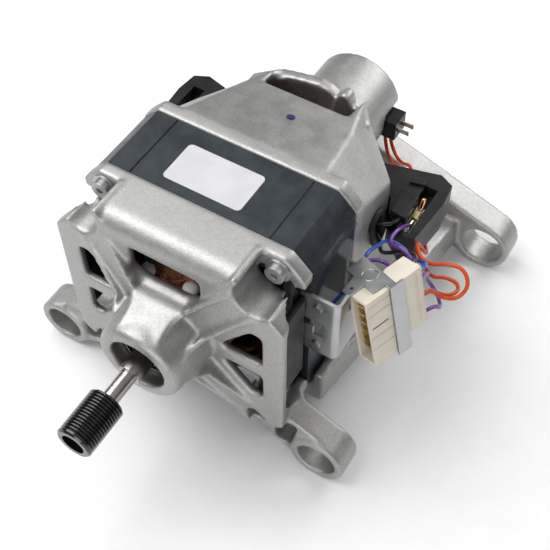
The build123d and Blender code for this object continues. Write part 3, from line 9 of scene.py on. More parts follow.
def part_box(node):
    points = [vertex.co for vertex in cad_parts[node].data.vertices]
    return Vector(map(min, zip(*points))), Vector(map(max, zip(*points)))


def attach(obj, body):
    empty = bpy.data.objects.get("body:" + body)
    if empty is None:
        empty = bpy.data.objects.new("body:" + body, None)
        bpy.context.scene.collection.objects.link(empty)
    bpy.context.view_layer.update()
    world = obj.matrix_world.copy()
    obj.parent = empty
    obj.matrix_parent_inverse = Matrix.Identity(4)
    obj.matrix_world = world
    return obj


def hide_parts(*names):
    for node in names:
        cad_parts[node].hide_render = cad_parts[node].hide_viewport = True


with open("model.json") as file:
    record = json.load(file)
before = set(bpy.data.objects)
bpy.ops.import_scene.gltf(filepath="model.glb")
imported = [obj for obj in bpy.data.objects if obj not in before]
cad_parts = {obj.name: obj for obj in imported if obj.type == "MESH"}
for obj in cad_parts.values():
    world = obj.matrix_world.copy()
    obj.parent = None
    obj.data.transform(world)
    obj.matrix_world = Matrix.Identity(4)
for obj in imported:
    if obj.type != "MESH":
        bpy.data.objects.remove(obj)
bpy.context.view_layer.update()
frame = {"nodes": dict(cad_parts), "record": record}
nodes = frame["nodes"]
scene = bpy.context.scene
MM = 0.001


def add_object(name, data):
    """An object of the given data, at the origin, in the scene."""
    obj = bpy.data.objects.new(name, data)
    scene.collection.objects.link(obj)
    return obj


# Camera, at the photograph's angle
CAMERA_PLACE = (0.1847, -0.1446, 0.4031)
AZIMUTH, ELEVATION = math.radians(31.35), math.radians(53.19)
camera_data = bpy.data.cameras.new("camera")
camera = add_object("camera", camera_data)
camera_data.sensor_width = 36.0
camera_data.lens = 65.94
camera_data.clip_start = 0.01
back = Vector((math.sin(AZIMUTH) * math.cos(ELEVATION), -math.cos(AZIMUTH) * math.cos(ELEVATION),
               math.sin(ELEVATION)))
right = Vector((math.cos(AZIMUTH), math.sin(AZIMUTH), 0.0))
up = back.cross(right)
turn = Matrix((right, up, back)).transposed().to_4x4()
camera.matrix_world = Matrix.Translation(CAMERA_PLACE) @ turn
scene.camera = camera
scene.view_settings.view_transform = "Standard"

# Cords: node, drawn length in metres and route in millimetres. The solids that lead_blue and
# lead_violet_to_field replace run on in front of the bracket's flange, where the photograph
# shows no wire.
LEAD_DIAMETER = 2.06 * MM
LEADS = {
    "lead_blue": ("leads_blue", 0.11, (
        (92.4, 127.9, 24.5), (97.1, 141.6, 25.1), (86.1, 150.3, 9.1), (76.1, 155.3, 9.5),
        (69.2, 152.4, 13.5), (67.5, 142.1, 17.5), (67.8, 131, 24.5), (68.2, 120, 16.1),
        (65.1, 107.1, 12.8), (63.9, 96.5, 12.2),
    )),
    "lead_violet_to_brush": ("leads_violet", 0.064, (
        (72.5, 172, 6.4), (71.8, 163.5, 13.9), (70.5, 153.2, 16), (73.4, 146.8, 17.3),
        (77, 144.3, 22.7), (83.6, 142.3, 23.8), (92.7, 139.7, 16.4), (90.8, 128.5, 12.5),
    )),
    "lead_violet_to_field": ("leads_violet", 0.054, (
        (86, 127, 26.5), (79, 131.8, 23.8), (72.1, 130.5, 23.8), (68.1, 124.1, 24.1),
        (71.4, 111, 19.4), (68.4, 102.9, 12.1), (66.4, 95.5, 11.9),
    )),
    "lead_violet_loop": ("leads_violet", 0.075, (
        (94.1, 127.3, 21.9), (96.7, 142, 18.6), (92.5, 151.4, -0.4), (101.2, 149.7, -7.4),
        (106.9, 140.4, -4.2), (104, 135.6, 3.2), (99.7, 125.3, 1.8),
    )),
    "lead_black_short": ("leads_black", 0.034, (
        (53, 159.4, 11.9), (66, 159.3, 13.2), (69, 172, 12.9), (70.5, 182, 12.9),
    )),
    "lead_black_to_block": ("leads_black", 0.06, (
        (56.4, 161.6, 5.6), (64.4, 156.5, 5.7), (67.5, 147.9, 6.7), (74.3, 146, 12.7),
        (80.1, 147.8, 16.6), (91.3, 143.4, 23.1), (87.5, 129.6, 25.1),
    )),
    "lead_orange_outer": ("leads_orange", 0.203, (
        (27.5, 240, -10.3), (30.5, 238.2, -18.5), (39.5, 232.5, -21.5), (51.4, 221.2, -5.8),
        (67, 194.8, -14.6), (87.2, 170.3, -11.1), (80.2, 162.2, 10.5), (87.3, 151.8, 12),
        (94.2, 150.6, 11.5), (99.7, 154.9, 11.3), (108.7, 156.1, 13.2), (115.1, 151.4, 8.4),
        (112.4, 145.1, 2), (103.5, 141.5, 2.5), (100.1, 138.4, 11.7), (96.3, 126.5, 12.2),
    )),
    "lead_orange_inner": ("leads_orange", 0.195, (
        (24.3, 240, -10.3), (26.4, 238.2, -19.2), (34.6, 230.8, -23.4), (49.6, 215.4, -4.4),
        (63.1, 190.4, -16.9), (84.5, 167.1, -13.7), (80.7, 162.3, 4.3), (88.1, 153.8, 6.2),
        (94.6, 153.9, -2.2), (99.5, 158.9, -4.1), (106.7, 158.5, -3.1), (110.3, 152.7, -0.8),
        (107.8, 146, 0.8), (101.1, 143.5, 1.9), (98.5, 139.1, 6.8), (94.5, 127.2, 6.4),
    )),
}


def wires(name, lines, radius, order, steps, sides):
    """Round NURBS wires, P(t) = sum N_i,order(t) p_i, pulled towards lists of points in
    millimetres. The radius, in metres, sits on the points, because the bounds count it there."""
    data = bpy.data.curves.new(name, "CURVE")
    data.dimensions = "3D"
    for line in lines:
        spline = data.splines.new("NURBS")
        spline.points.add(len(line) - 1)
        for point, place in zip(spline.points, line):
            point.co = (place[0] * MM, place[1] * MM, place[2] * MM, 1.0)
            point.radius = radius
        spline.order_u = order
        spline.use_endpoint_u = True
        spline.resolution_u = steps
    data.bevel_depth = 1.0
    data.bevel_resolution = sides
    data.use_fill_caps = True
    return add_object(name, data)


def lead(name, node, length, route):
    """A lead of the loom as a smooth quadratic NURBS, in place of its solid."""
    obj = wires(name, [route], LEAD_DIAMETER / 2, order=3, steps=10, sides=5)
    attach(obj, "housing")
    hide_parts(node)
    return obj


lead_objects = {name: lead(name, *facts) for name, facts in LEADS.items()}

# Node helpers
FLOAT, VECTOR, COLOR = "NodeSocketFloat", "NodeSocketVector", "NodeSocketColor"


def feed(tree, socket, value):
    """Links an input socket to another socket, or sets it to a constant."""
    if isinstance(value, bpy.types.NodeSocket):
        tree.links.new(value, socket)
    else:
        socket.default_value = value


def group(name, inputs, outputs):
    """A node group with the given sockets, and its input and output nodes."""
    tree = bpy.data.node_groups.new(name, "ShaderNodeTree")
    for label, kind, value in inputs:
        socket = tree.interface.new_socket(label, in_out="INPUT", socket_type=kind)
        if value is not None:
            socket.default_value = value
    for label, kind in outputs:
        tree.interface.new_socket(label, in_out="OUTPUT", socket_type=kind)
    return tree, tree.nodes.new("NodeGroupInput"), tree.nodes.new("NodeGroupOutput")


def use_group(tree, source, **values):
    """A node that runs a group with the given values."""
    node = tree.nodes.new("ShaderNodeGroup")
    node.node_tree = source
    for label, value in values.items():
        feed(tree, node.inputs[label], value)
    return node


def noise(tree, vector, scale, detail, roughness):
    """Noise of the given scale, from 0 to 1."""
    node = tree.nodes.new("ShaderNodeTexNoise")
    for label, value in (("Scale", scale), ("Detail", detail), ("Roughness", roughness),
                         ("Vector", vector)):
        feed(tree, node.inputs[label], value)
    return node.outputs["Fac"]


def math_node(tree, operation, first, second=None):
    """One sum of one or two values."""
    node = tree.nodes.new("ShaderNodeMath")
    node.operation = operation
    for place, value in enumerate((first, second)):
        if value is not None:
            feed(tree, node.inputs[place], value)
    return node.outputs[0]


def remap(tree, value, low, high, to_low, to_high, smooth=False):
    """A value moved from one range to another, in a straight line or smoothly."""
    node = tree.nodes.new("ShaderNodeMapRange")
    node.interpolation_type = "SMOOTHSTEP" if smooth else "LINEAR"
    node.clamp = True
    for label, item in (("Value", value), ("From Min", low), ("From Max", high),
                        ("To Min", to_low), ("To Max", to_high)):
        feed(tree, node.inputs[label], item)
    return node.outputs[0]


def mix_color(tree, factor, first, second):
    """The first colour at 0 and the second at 1."""
    node = tree.nodes.new("ShaderNodeMix")
    node.data_type = "RGBA"
    for place, value in ((0, factor), (6, first), (7, second)):
        feed(tree, node.inputs[place], value)
    return node.outputs[2]


# Grain: fine noise over coarse noise, as a height
COARSE_SCALE = 0.22  # of the fine noise's scale
grain, grain_in, grain_out = group(
    "grain", (("Vector", VECTOR, None), ("Scale", FLOAT, 1500.0), ("Coarse", FLOAT, 0.3)),
    (("Height", FLOAT),))
fine = noise(grain, grain_in.outputs["Vector"], grain_in.outputs["Scale"], 3.0, 0.6)
coarse_scale = math_node(grain, "MULTIPLY", grain_in.outputs["Scale"], COARSE_SCALE)
coarse_noise = noise(grain, grain_in.outputs["Vector"], coarse_scale, 2.0, 0.5)
weighted = math_node(grain, "MULTIPLY", coarse_noise, grain_in.outputs["Coarse"])
grain.links.new(math_node(grain, "ADD", fine, weighted), grain_out.inputs["Height"])

# Patches: a colour between two, and a roughness between two, that vary over the surface
patches, patches_in, patches_out = group(
    "patches", (("Vector", VECTOR, None), ("Scale", FLOAT, 60.0), ("First", COLOR, (1, 1, 1, 1)),
                ("Second", COLOR, (1, 1, 1, 1)), ("Low", FLOAT, 0.3), ("High", FLOAT, 0.5)),
    (("Color", COLOR), ("Roughness", FLOAT)))
cloud = noise(patches, patches_in.outputs["Vector"], patches_in.outputs["Scale"], 4.0, 0.6)
spread = remap(patches, cloud, 0.3, 0.7, 0.0, 1.0, smooth=True)
patches.links.new(
    mix_color(patches, spread, patches_in.outputs["First"], patches_in.outputs["Second"]),
    patches_out.inputs["Color"])
patches.links.new(
    remap(patches, spread, 0.0, 1.0, patches_in.outputs["Low"], patches_in.outputs["High"]),
    patches_out.inputs["Roughness"])

# Streaks: long thin lines along one way, by stretching the noise
streaks, streaks_in, streaks_out = group(
    "streaks", (("Vector", VECTOR, None), ("Stretch", VECTOR, None)), (("Value", FLOAT),))
stretched = streaks.nodes.new("ShaderNodeVectorMath")
stretched.operation = "MULTIPLY"
streaks.links.new(streaks_in.outputs["Vector"], stretched.inputs[0])
streaks.links.new(streaks_in.outputs["Stretch"], stretched.inputs[1])
streaks.links.new(noise(streaks, stretched.outputs[0], 1.0, 3.0, 0.65),
                  streaks_out.inputs["Value"])

# Painted shade in the hub's bore: 1 inside the hub's opening, where the alloy is painted dark in
# place of the shadow in the deep hollow, and 0 outside, from places in metres, each with a soft
# edge
BORE_RADIUS = (0.0149, 0.0158)
BORE_FRONT_Y = (0.0345, 0.037)
BORE_REAR_Y = (0.07, 0.072)
bore_shade_mask, bore_in, bore_out = group("bore_shade_mask", (("Vector", VECTOR, None),), (("Value", FLOAT),))
parts = bore_shade_mask.nodes.new("ShaderNodeSeparateXYZ")
bore_shade_mask.links.new(bore_in.outputs["Vector"], parts.inputs[0])
square = math_node(bore_shade_mask, "ADD", math_node(bore_shade_mask, "MULTIPLY", parts.outputs["X"], parts.outputs["X"]),
                   math_node(bore_shade_mask, "MULTIPLY", parts.outputs["Z"], parts.outputs["Z"]))
inside = remap(bore_shade_mask, math_node(bore_shade_mask, "SQRT", square), *BORE_RADIUS, 1.0, 0.0, smooth=True)
behind = remap(bore_shade_mask, parts.outputs["Y"], *BORE_FRONT_Y, 0.0, 1.0, smooth=True)
before = remap(bore_shade_mask, parts.outputs["Y"], *BORE_REAR_Y, 1.0, 0.0, smooth=True)
bore_shade_mask.links.new(math_node(bore_shade_mask, "MULTIPLY", math_node(bore_shade_mask, "MULTIPLY", inside, behind), before),
               bore_out.inputs["Value"])

# Colour of the painted shade in the hub's bore
BORE_PAINTED_SHADE = (0.02, 0.02, 0.022, 1.0)
SPECKLE_RANGE = (0.48, 0.76)  # of the grain's height
SPECKLE_SHADE = 0.62          # of the first colour
LEAST_GRAIN = 0.001
BEVEL_SAMPLES = 6


def material(name, first, second, low, high, metal=0.0, scale=60.0, bevel=0.0, grain_scale=0.0,
             grain_strength=0.2, coarse=0.3, grain_depth=0.0002, streak=None,
             streak_strength=0.15, coat=0.0, alpha=1.0, specular=0.5, paint_bore_shade=False,
             speckle=0.0):
    """A principled finish. Its colour varies in patches from first to second and its roughness
    from low to high, with soft edges (bevel, in millimetres), grain and streaks."""
    made = bpy.data.materials.new(name)
    made.use_nodes = True
    tree = made.node_tree
    shader = tree.nodes["Principled BSDF"]
    place = tree.nodes.new("ShaderNodeTexCoord").outputs["Object"]
    tone = use_group(tree, patches, Vector=place, Scale=scale, First=first + (1.0,),
                     Second=second + (1.0,), Low=low, High=high)
    color = tone.outputs["Color"]
    # Painted shade: the colour goes dark inside the hub's bore, standing in for its shadow
    if paint_bore_shade:
        painted_shade = use_group(tree, bore_shade_mask, Vector=place).outputs[0]
        color = mix_color(tree, painted_shade, color, BORE_PAINTED_SHADE)
    if speckle:
        dots = use_group(tree, grain, Vector=place, Scale=grain_scale, Coarse=coarse).outputs[0]
        dots = remap(tree, dots, *SPECKLE_RANGE, 0.0, speckle, smooth=True)
        darker = tuple(SPECKLE_SHADE * value for value in first) + (1.0,)
        color = mix_color(tree, dots, color, darker)
    tree.links.new(color, shader.inputs["Base Color"])
    tree.links.new(tone.outputs["Roughness"], shader.inputs["Roughness"])
    shader.inputs["Metallic"].default_value = metal
    shader.inputs["Coat Weight"].default_value = coat
    shader.inputs["Alpha"].default_value = alpha
    shader.inputs["Specular IOR Level"].default_value = specular
    normal = None
    if bevel:
        soft = tree.nodes.new("ShaderNodeBevel")
        soft.samples = BEVEL_SAMPLES
        soft.inputs["Radius"].default_value = bevel * MM
        normal = soft.outputs[0]
    height = None
    if grain_scale:
        height = use_group(tree, grain, Vector=place, Scale=grain_scale, Coarse=coarse).outputs[0]
    if streak:
        lines = use_group(tree, streaks, Vector=place, Stretch=streak).outputs[0]
        lines = math_node(tree, "MULTIPLY", lines,
                          streak_strength / max(grain_strength, LEAST_GRAIN))
        height = math_node(tree, "ADD", height, lines) if height else lines
    if height:
        bump = tree.nodes.new("ShaderNodeBump")
        bump.inputs["Strength"].default_value = grain_strength
        bump.inputs["Distance"].default_value = grain_depth
        tree.links.new(height, bump.inputs["Height"])
        if normal:
            tree.links.new(normal, bump.inputs["Normal"])
        normal = bump.outputs[0]
    if normal:
        tree.links.new(normal, shader.inputs["Normal"])
    return made


# Finishes: two colours, two roughnesses and what else differs from the defaults
INSULATION = dict(low=0.25, high=0.32, scale=90, coat=0.3)
FINISHES = {
    "cast_alloy": dict(
        first=(0.44, 0.437, 0.427), second=(0.48, 0.475, 0.464), low=0.42, high=0.5, metal=0.88,
        scale=110, grain_scale=1900, grain_strength=0.4, coarse=0.2, grain_depth=0.0003,
        speckle=0.7, paint_bore_shade=True),
    "sheet_steel": dict(
        first=(0.036, 0.043, 0.05), second=(0.05, 0.058, 0.067), low=0.36, high=0.46, metal=0.75,
        scale=110, bevel=0.3, grain_strength=0.3, streak=(60.0, 6000.0, 60.0),
        streak_strength=0.3),
    "polished_steel": dict(
        first=(0.36, 0.34, 0.32), second=(0.44, 0.42, 0.4), low=0.12, high=0.22, metal=1.0,
        scale=90, bevel=0.4, streak=(200.0, 9000.0, 200.0)),
    "black_coated_steel": dict(
        first=(0.006, 0.006, 0.006), second=(0.012, 0.011, 0.01), low=0.16, high=0.26, metal=0.2,
        bevel=0.15, grain_scale=1200, grain_strength=0.05, coat=0.6),
    "zinc_plate": dict(
        first=(0.44, 0.45, 0.46), second=(0.52, 0.525, 0.53), low=0.3, high=0.42, metal=1.0,
        scale=90, bevel=0.35, grain_scale=1500, grain_strength=0.04),
    "copper_wire": dict(
        first=(0.16, 0.055, 0.025), second=(0.27, 0.1, 0.045), low=0.25, high=0.45, metal=0.6,
        scale=300, bevel=0.2, grain_scale=900, grain_strength=0.5, coarse=0.6),
    "copper_bar": dict(
        first=(0.62, 0.29, 0.16), second=(0.7, 0.36, 0.2), low=0.22, high=0.36, metal=1.0,
        scale=200, bevel=0.15, streak=(50.0, 12000.0, 50.0), streak_strength=0.2),
    "pale_moulding": dict(
        first=(0.78, 0.77, 0.72), second=(0.84, 0.83, 0.79), low=0.3, high=0.42, scale=80,
        bevel=0.5, grain_scale=900, grain_strength=0.04),
    "ivory_moulding": dict(
        first=(0.67, 0.6, 0.5), second=(0.72, 0.655, 0.555), low=0.34, high=0.45, scale=80,
        bevel=0.6, grain_scale=1000, grain_strength=0.04),
    "clear_film": dict(
        first=(0.05, 0.055, 0.06), second=(0.07, 0.075, 0.08), low=0.03, high=0.07, alpha=0.25),
    "white_label": dict(
        first=(0.54, 0.54, 0.56), second=(0.6, 0.6, 0.61), low=0.35, high=0.45),
    "dark_magnet": dict(
        first=(0.03, 0.03, 0.032), second=(0.05, 0.05, 0.05), low=0.45, high=0.6, metal=0.2),
    "brass_blade": dict(
        first=(0.75, 0.56, 0.25), second=(0.8, 0.62, 0.3), low=0.2, high=0.3, metal=1.0),
    "black_moulding": dict(
        first=(0.007, 0.007, 0.008), second=(0.013, 0.013, 0.014), low=0.36, high=0.48, scale=90,
        bevel=0.7, grain_scale=1300, grain_strength=0.06, specular=0.3),
    "tinned_brass": dict(
        first=(0.66, 0.64, 0.58), second=(0.74, 0.72, 0.66), low=0.22, high=0.34, metal=1.0),
    "carbon": dict(
        first=(0.03, 0.03, 0.03), second=(0.045, 0.045, 0.045), low=0.5, high=0.65, metal=0.1),
    "spring_steel": dict(
        first=(0.5, 0.5, 0.5), second=(0.6, 0.6, 0.6), low=0.25, high=0.35, metal=1.0),
    "black_rubber": dict(
        first=(0.012, 0.012, 0.012), second=(0.02, 0.02, 0.02), low=0.5, high=0.65, scale=90,
        bevel=1.0),
    "blue_insulation": dict(first=(0.01, 0.07, 0.36), second=(0.013, 0.09, 0.44), **INSULATION),
    "violet_insulation": dict(first=(0.15, 0.045, 0.3), second=(0.18, 0.055, 0.35), **INSULATION),
    "black_insulation": dict(
        first=(0.012, 0.012, 0.013), second=(0.018, 0.018, 0.02), **INSULATION),
    "orange_insulation": dict(
        first=(0.5, 0.055, 0.006), second=(0.58, 0.07, 0.008), low=0.3, high=0.4, scale=90,
        coat=0.1, specular=0.3),
}
finish = {name: material(name, **values) for name, values in FINISHES.items()}


def dress(obj, slot_name):
    """Gives a piece the finish of its slot."""
    obj.data.materials.clear()
    obj.data.materials.append(finish[slot_name])


# The photograph shows the coil insulators dark, so they don't take the record's pale slot
slot_of = {entry["node"]: entry["material_slot"] for entry in frame["record"]["subparts"]}
for name, obj in nodes.items():
    dress(obj, slot_of[name])
for name in ("front_coil_insulator", "rear_coil_insulator"):
    dress(nodes[name], "black_moulding")
for name, obj in lead_objects.items():
    dress(obj, slot_of[LEADS[name][0]])

# Castings with soft edges: the CAD shape as fine cells, smoothed. Lengths in millimetres.
WELD = 1e-6  # metres
SMOOTHING = 0.5
BLUNT_REACH = 5.5
BLUNT_ROUNDS = 25


def add_hulls(mesh, hulls):
    """Merges a mesh's loose triangles and adds the convex hull of each list of points."""
    work = bmesh.new()
    work.from_mesh(mesh)
    bmesh.ops.remove_doubles(work, verts=work.verts, dist=WELD)
    for points in hulls:
        corners = [work.verts.new([value * MM for value in point]) for point in points]
        made = bmesh.ops.convex_hull(work, input=corners)
        spare = [item for item in made["geom_interior"] if isinstance(item, bmesh.types.BMVert)]
        bmesh.ops.delete(work, geom=spare, context="VERTS")
    work.to_mesh(mesh)
    work.free()


def slab(outline, start, end):
    """The corners of a slab between two stations along Y, from its outline in X and Z."""
    return [(x, y, z) for y in (start, end) for x, z in outline]


def soft_casting(name, node, cell, rounds, share, hulls=(), blunt=()):
    """The node's shape in cells of the given size, each vertex moved towards its neighbours'
    mean, v' = v + SMOOTHING (mean - v), a number of rounds, then thinned to a share of its
    faces. Within BLUNT_REACH of the blunt places, BLUNT_ROUNDS more round off sharp tips."""
    rough = add_object(name, nodes[node].data.copy())
    add_hulls(rough.data, hulls)
    cells = rough.modifiers.new("cells", "REMESH")
    cells.mode = "VOXEL"
    cells.voxel_size = cell * MM
    even = rough.modifiers.new("even", "SMOOTH")
    even.factor = SMOOTHING
    even.iterations = rounds
    thin = rough.modifiers.new("thin", "DECIMATE")
    thin.ratio = share
    made = bpy.data.meshes.new_from_object(
        rough.evaluated_get(bpy.context.evaluated_depsgraph_get()))
    rough.modifiers.clear()
    rough.data = made
    work = bmesh.new()
    work.from_mesh(made)
    for tip in blunt:
        near = [v for v in work.verts if (v.co - Vector(tip) * MM).length < BLUNT_REACH * MM]
        for _ in range(BLUNT_ROUNDS):
            bmesh.ops.smooth_vert(work, verts=near, factor=SMOOTHING, use_axis_x=True,
                                  use_axis_y=True, use_axis_z=True)
    work.to_mesh(made)
    work.free()
    for polygon in made.polygons:
        polygon.use_smooth = True
    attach(rough, "housing")
    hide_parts(node)
    dress(rough, "cast_alloy")


REAR_HULLS = (
    # Wall behind the top slot, from the left shoulder to the bearing ring
    slab(((-44.0, 14.0), (-44.0, 27.0), (-30.0, 36.0), (-24.0, 39.5), (-24.0, 14.0)), 201.0, 208.5),
    slab(((-24.0, 18.0), (-24.0, 39.5), (-8.6, 42.6), (-8.6, 26.0)), 202.0, 208.5),
    slab(((-8.6, 26.0), (-8.6, 42.6), (0.3, 43.8), (6.0, 42.6), (10.5, 40.0), (10.5, 26.0)),
         202.0, 208.5),
    # Fin with a round top beside the slot
    slab(((9.0, 24.0), (10.5, 38.0), (12.5, 43.5), (15.5, 46.0), (18.5, 44.5), (19.8, 40.0),
          (20.5, 26.0)), 200.0, 208.0),
)
soft_casting("front_casting", "front_end_frame", 1.1, 7, 0.7,
             blunt=((51.5, 81.5, 41.0), (-55.0, 77.0, 42.5)))
soft_casting("rear_casting", "rear_end_frame", 1.15, 6, 0.5, REAR_HULLS, ((-26.0, 203.0, 42.0),))


# Pieces that only the scene has, with their sizes in millimetres
def place_piece(obj, body, slot_name):
    """Puts a piece on its body, in its finish."""
    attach(obj, body)
    dress(obj, slot_name)
    return obj


def mesh_piece(name, vertices, faces, body, slot_name):
    """A mesh with flat faces that point outwards, from vertices in metres."""
    data = bpy.data.meshes.new(name)
    data.from_pydata([tuple(v) for v in vertices], [], faces)
    work = bmesh.new()
    work.from_mesh(data)
    bmesh.ops.recalc_face_normals(work, faces=work.faces)
    work.to_mesh(data)
    work.free()
    return place_piece(add_object(name, data), body, slot_name)


def prism(name, count, vertices, body, slot_name):
    """A closed prism, from its bottom corners and then its top ones, in metres."""
    faces = [tuple(reversed(range(count))), tuple(range(count, 2 * count))]
    faces += [(i, (i + 1) % count, count + (i + 1) % count, count + i) for i in range(count)]
    return mesh_piece(name, vertices, faces, body, slot_name)


def tube(name, lines, radius, body, slot_name, sides=1, order=4):
    """Smooth wires of one radius along lists of points."""
    return place_piece(wires(name, lines, radius * MM, order, 3, sides), body, slot_name)


def block(name, corners, low, high, slot_name, round_edge):
    """A prism on the housing over four corners in X and Y, with rounded edges."""
    vertices = [(x * MM, y * MM, z * MM) for z in (low, high) for x, y in corners]
    obj = prism(name, len(corners), vertices, "housing", slot_name)
    edge = obj.modifiers.new("edge", "BEVEL")
    edge.width = round_edge * MM
    edge.segments = 3


# Rough end turns of the armature winding, wound over the front and rear of it
rng = np.random.default_rng(7)
COILS, WIRES_PER_COIL, POINTS_PER_WIRE = 24, 5, 12
COIL_SPAN = math.radians(118)
WIRE_OFFSET = 0.16  # of the angle between coils
OUTER_REACH, REACH_STEP = 28.4, 0.9
WIRE_RADIUS = 0.45
FACE_RADII = (22.1, 24.3, 26.4, 28.6)
END_TURNS = {  # the winding's face y at FACE_RADII, the wires' offset from it, and their scatter
    "front_end_turns": ((68.0, 70.0, 73.0, 75.2), -0.15, (-0.25, 0.35)),
    "rear_end_turns": ((153.0, 151.0, 149.0, 147.0), 0.15, (-0.35, 0.25)),
}


def end_turns(face, offset, scatter):
    """Chords between slots, r(t) = R (1 - s sin(pi t)), laid on the winding's face y(r)."""
    lines = []
    for coil in range(COILS):
        for wire in range(WIRES_PER_COIL):
            start = 2 * math.pi * (coil + WIRE_OFFSET * wire) / COILS + rng.uniform(-0.02, 0.02)
            reach = OUTER_REACH - REACH_STEP * wire + rng.uniform(-0.3, 0.3)
            sink = rng.uniform(0.28, 0.5)
            line = []
            for t in np.linspace(0.0, 1.0, POINTS_PER_WIRE):
                angle = start + COIL_SPAN * t
                radius = reach * (1 - sink * math.sin(math.pi * t))
                y = np.interp(radius, FACE_RADII, face) + offset + rng.uniform(*scatter)
                line.append((radius * math.cos(angle), y, radius * math.sin(angle)))
            lines.append(line)
    return lines


for name, facts in END_TURNS.items():
    tube(name, end_turns(*facts), WIRE_RADIUS, "rotor", "copper_wire")


def pebble(name, centre, radii, body, slot_name):
    """An ellipsoid, (x/a)^2 + (y/b)^2 + (z/c)^2 = 1, about a centre."""
    work = bmesh.new()
    bmesh.ops.create_uvsphere(work, u_segments=24, v_segments=14, radius=1.0)
    data = bpy.data.meshes.new(name)
    work.to_mesh(data)
    work.free()
    place = np.array([v.co for v in data.vertices]) * np.array(radii) + np.array(centre)
    data.vertices.foreach_set("co", (place * MM).astype(np.float32).ravel())
    data.update()
    for polygon in data.polygons:
        polygon.use_smooth = True
    place_piece(add_object(name, data), body, slot_name)


# Two pale fingers of the coil insulation behind the top window
FINGER_RADII = (4.4, 4.0, 2.6)
for side_name, centre in (("left", (-17.0, 72.3, 20.6)), ("right", (8.0, 70.8, 24.0))):
    pebble("insulation_finger_" + side_name, centre, FINGER_RADII, "housing", "pale_moulding")

# Brush holder: raised cap and cross rib, and the clip, braid and crimp at its terminal
block("brush_cap", ((62.1, 168.3), (60.9, 185.0), (70.2, 185.4), (71.4, 167.4)), 10.5, 15.5,
      "black_moulding", 0.6)
block("brush_cap_rib", ((61.2, 192.9), (60.9, 196.9), (68.8, 198.4), (69.5, 194.8)), 10.8, 13.2,
      "black_moulding", 0.4)
block("brush_clip", ((71.0, 176.0), (71.0, 181.0), (74.2, 181.0), (74.2, 176.0)), 5.2, 8.4,
      "brass_blade", 0.3)
tube("brush_braid", [[(71.4, 184.5, 6.0), (71.0, 187.5, 9.5), (72.2, 189.5, 10.6),
                      (73.6, 187.0, 9.0), (73.4, 182.5, 7.0)]], 0.8, "housing", "copper_bar", 2)
tube("crimp", [[(72.5, 168.6, 6.6), (72.5, 171.5, 6.6), (72.5, 174.5, 6.4)]], 1.5, "housing",
     "tinned_brass", 3, 3)

# The terminal block's own axes, across, deep and high, from its lower front corner
AXIS_W, AXIS_D, AXIS_H = (Vector((0.906, -0.315, 0.283)), Vector((0.329, 0.944, 0.0)),
                          Vector((-0.267, 0.095, 0.959)))
BLOCK_CORNER = Vector((84.1, 99.0, -9.4))
BLOCK_SIDE = 11.7  # where its outer side is, across


def in_block(across, deep, high):
    """A place in the terminal block's own axes."""
    return BLOCK_CORNER + AXIS_W * across + AXIS_D * deep + AXIS_H * high


def block_slab(name, outline, low, high, slot_name):
    """A plate over an outline in the block's width and depth, between two heights."""
    vertices = [in_block(a, b, c) * MM for c in (low, high) for a, b in outline]
    prism(name, len(outline), vertices, "housing", slot_name)


def block_strip(name, thickness, start, end, low, high, slot_name):
    """A strip on the block's outer side, between two depths and two heights."""
    top = BLOCK_SIDE + thickness
    block_slab(name, ((BLOCK_SIDE, start), (top, start), (top, end), (BLOCK_SIDE, end)), low, high,
               slot_name)


# Moulded lines, a black strip as the painted shadow in a gap, and edge strip on the outer side of
# the block, and the blades' flat fronts
LINE_HEIGHTS = (36.2, 31.0, 17.2, 10.4)
LINE_WIDTH = 0.7
for count, high in enumerate(LINE_HEIGHTS, 1):
    block_strip("block_line_%d" % count, 0.5, 0.6, 13.4, high, high + LINE_WIDTH, "ivory_moulding")
# A thin black strip standing a little out from the side: painted shadow in place of the moulded
# gap's recess
block_strip("block_gap_shadow", 0.26, 1.6, 11.5, 23.2, 23.9, "black_moulding")
block_strip("block_edge", 1.0, 31.4, 32.8, 7.5, 39.0, "ivory_moulding")
BLADE_COUNT, BLADE_PITCH, FIRST_BLADE, BLADE_HALF = 6, 5.0, 10.6, 0.55
BLADE_OUTLINE = ((2.6, 1.9), (5.4, 0.5), (9.0, 0.7), (9.6, 2.4), (9.6, 9.8), (2.6, 9.8))
for blade in range(BLADE_COUNT):
    height = FIRST_BLADE + BLADE_PITCH * blade
    block_slab("blade_front_%d" % (blade + 1), BLADE_OUTLINE, height - BLADE_HALF,
               height + BLADE_HALF, "brass_blade")

# Plain ring stamped in the carrier plate
RING_RADIUS, RING_WIRE, RING_POINTS = 4.0, 0.3, 25
ring_centre = in_block(-1.0, 14.4, 41.25)
ring = [tuple(ring_centre + AXIS_W * RING_RADIUS * math.cos(a) + AXIS_D * RING_RADIUS * math.sin(a))
        for a in np.linspace(0, 2 * math.pi, RING_POINTS)]
tube("stamped_ring", [ring], RING_WIRE, "housing", "zinc_plate", 2)

# Spot of blue paint on the rear casting
SPOT_RADIUS, SPOT_THICKNESS, SPOT_CORNERS = 2.2, 0.4, 32
spot_centre = np.array((3.4, 168.1, 50.9))
spot_side = np.array((1.0, 0.0, 0.0))
spot_way = np.cross(np.array((0.0, 0.33, 0.944)), spot_side)
spot = [spot_centre + SPOT_RADIUS * (spot_side * math.cos(a) + spot_way * math.sin(a))
        for a in np.linspace(0, 2 * math.pi, SPOT_CORNERS, endpoint=False)]
dot = mesh_piece("paint_spot", [point * MM for point in spot], [tuple(range(SPOT_CORNERS))],
                 "housing", "cast_alloy")
dot.data.materials[0] = material("blue_paint", (0.006, 0.012, 0.1), (0.008, 0.015, 0.13),
                                 0.45, 0.55)
thick = dot.modifiers.new("thick", "SOLIDIFY")
thick.thickness = SPOT_THICKNESS * MM
thick.offset = 0.0

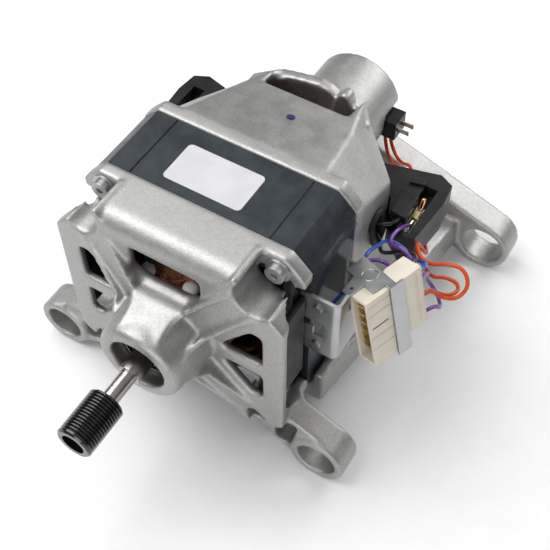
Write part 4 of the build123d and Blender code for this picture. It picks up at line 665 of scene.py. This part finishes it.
# Dark collars of the coil insulation, seen through the side windows of the front casting
COLLAR = ((55.0, 68.0), (58.4, 70.0), (58.4, 90.0), (55.0, 90.0))
for side, side_name in ((1, "right"), (-1, "left")):
    block("insulation_collar_" + side_name, [(side * x, y) for x, y in COLLAR], -30.0, 30.0,
          "black_moulding", 1.2)

# Plain pale floor, clear from below, so that the underside can be seen
FLOOR_REACH = 4
lowest = min(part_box(name)[0].z for name in nodes)
floor_mesh = bpy.data.meshes.new("floor")
floor_mesh.from_pydata([(x * FLOOR_REACH, y * FLOOR_REACH, lowest)
                        for x, y in ((-1, -1), (1, -1), (1, 1), (-1, 1))], [], [(0, 1, 2, 3)])
floor = add_object("floor", floor_mesh)
floor_finish = material("floor", (0.86, 0.86, 0.86), (0.88, 0.88, 0.88), 0.55, 0.6)
below = floor_finish.node_tree
glass = below.nodes.new("ShaderNodeMixShader")
below.links.new(below.nodes.new("ShaderNodeNewGeometry").outputs["Backfacing"], glass.inputs[0])
below.links.new(below.nodes["Principled BSDF"].outputs[0], glass.inputs[1])
below.links.new(below.nodes.new("ShaderNodeBsdfTransparent").outputs[0], glass.inputs[2])
below.links.new(glass.outputs[0], below.nodes["Material Output"].inputs["Surface"])
floor_mesh.materials.append(floor_finish)

# Sky, darker towards the horizon
HORIZON, ZENITH, SKY_STRENGTH = (0.2, 0.21, 0.23, 1.0), (1.0, 1.0, 1.0, 1.0), 0.46
world = bpy.data.worlds.new("world")
scene.world = world
world.use_nodes = True
sky = world.node_tree
direction = sky.nodes.new("ShaderNodeTexCoord").outputs["Generated"]
split = sky.nodes.new("ShaderNodeSeparateXYZ")
sky.links.new(direction, split.inputs[0])
lift = remap(sky, split.outputs["Z"], 0.0, 0.9, 0.0, 1.0, smooth=True)
sky.links.new(mix_color(sky, lift, HORIZON, ZENITH), sky.nodes["Background"].inputs["Color"])
sky.nodes["Background"].inputs["Strength"].default_value = SKY_STRENGTH

# Soft lights, in metres and watts, all aimed at the middle of the motor
LIGHT_AIM = Vector((0.0, 0.12, 0.0))


def area_light(name, place, size, power):
    """A rectangular light at a place."""
    data = bpy.data.lights.new(name, "AREA")
    data.shape = "RECTANGLE"
    data.size, data.size_y = size
    data.energy = power
    obj = add_object(name, data)
    aim = (LIGHT_AIM - Vector(place)).normalized()
    obj.matrix_world = Matrix.Translation(place) @ aim.to_track_quat("-Z", "Y").to_matrix().to_4x4()


area_light("key_light", (-0.6, 0.0, 1.0), (1.1, 1.1), 14.5)
area_light("back_light", (0.35, 1.05, 0.6), (0.9, 0.4), 6)
area_light("front_light", (0.35, -1.0, 0.35), (0.9, 0.5), 4.5)
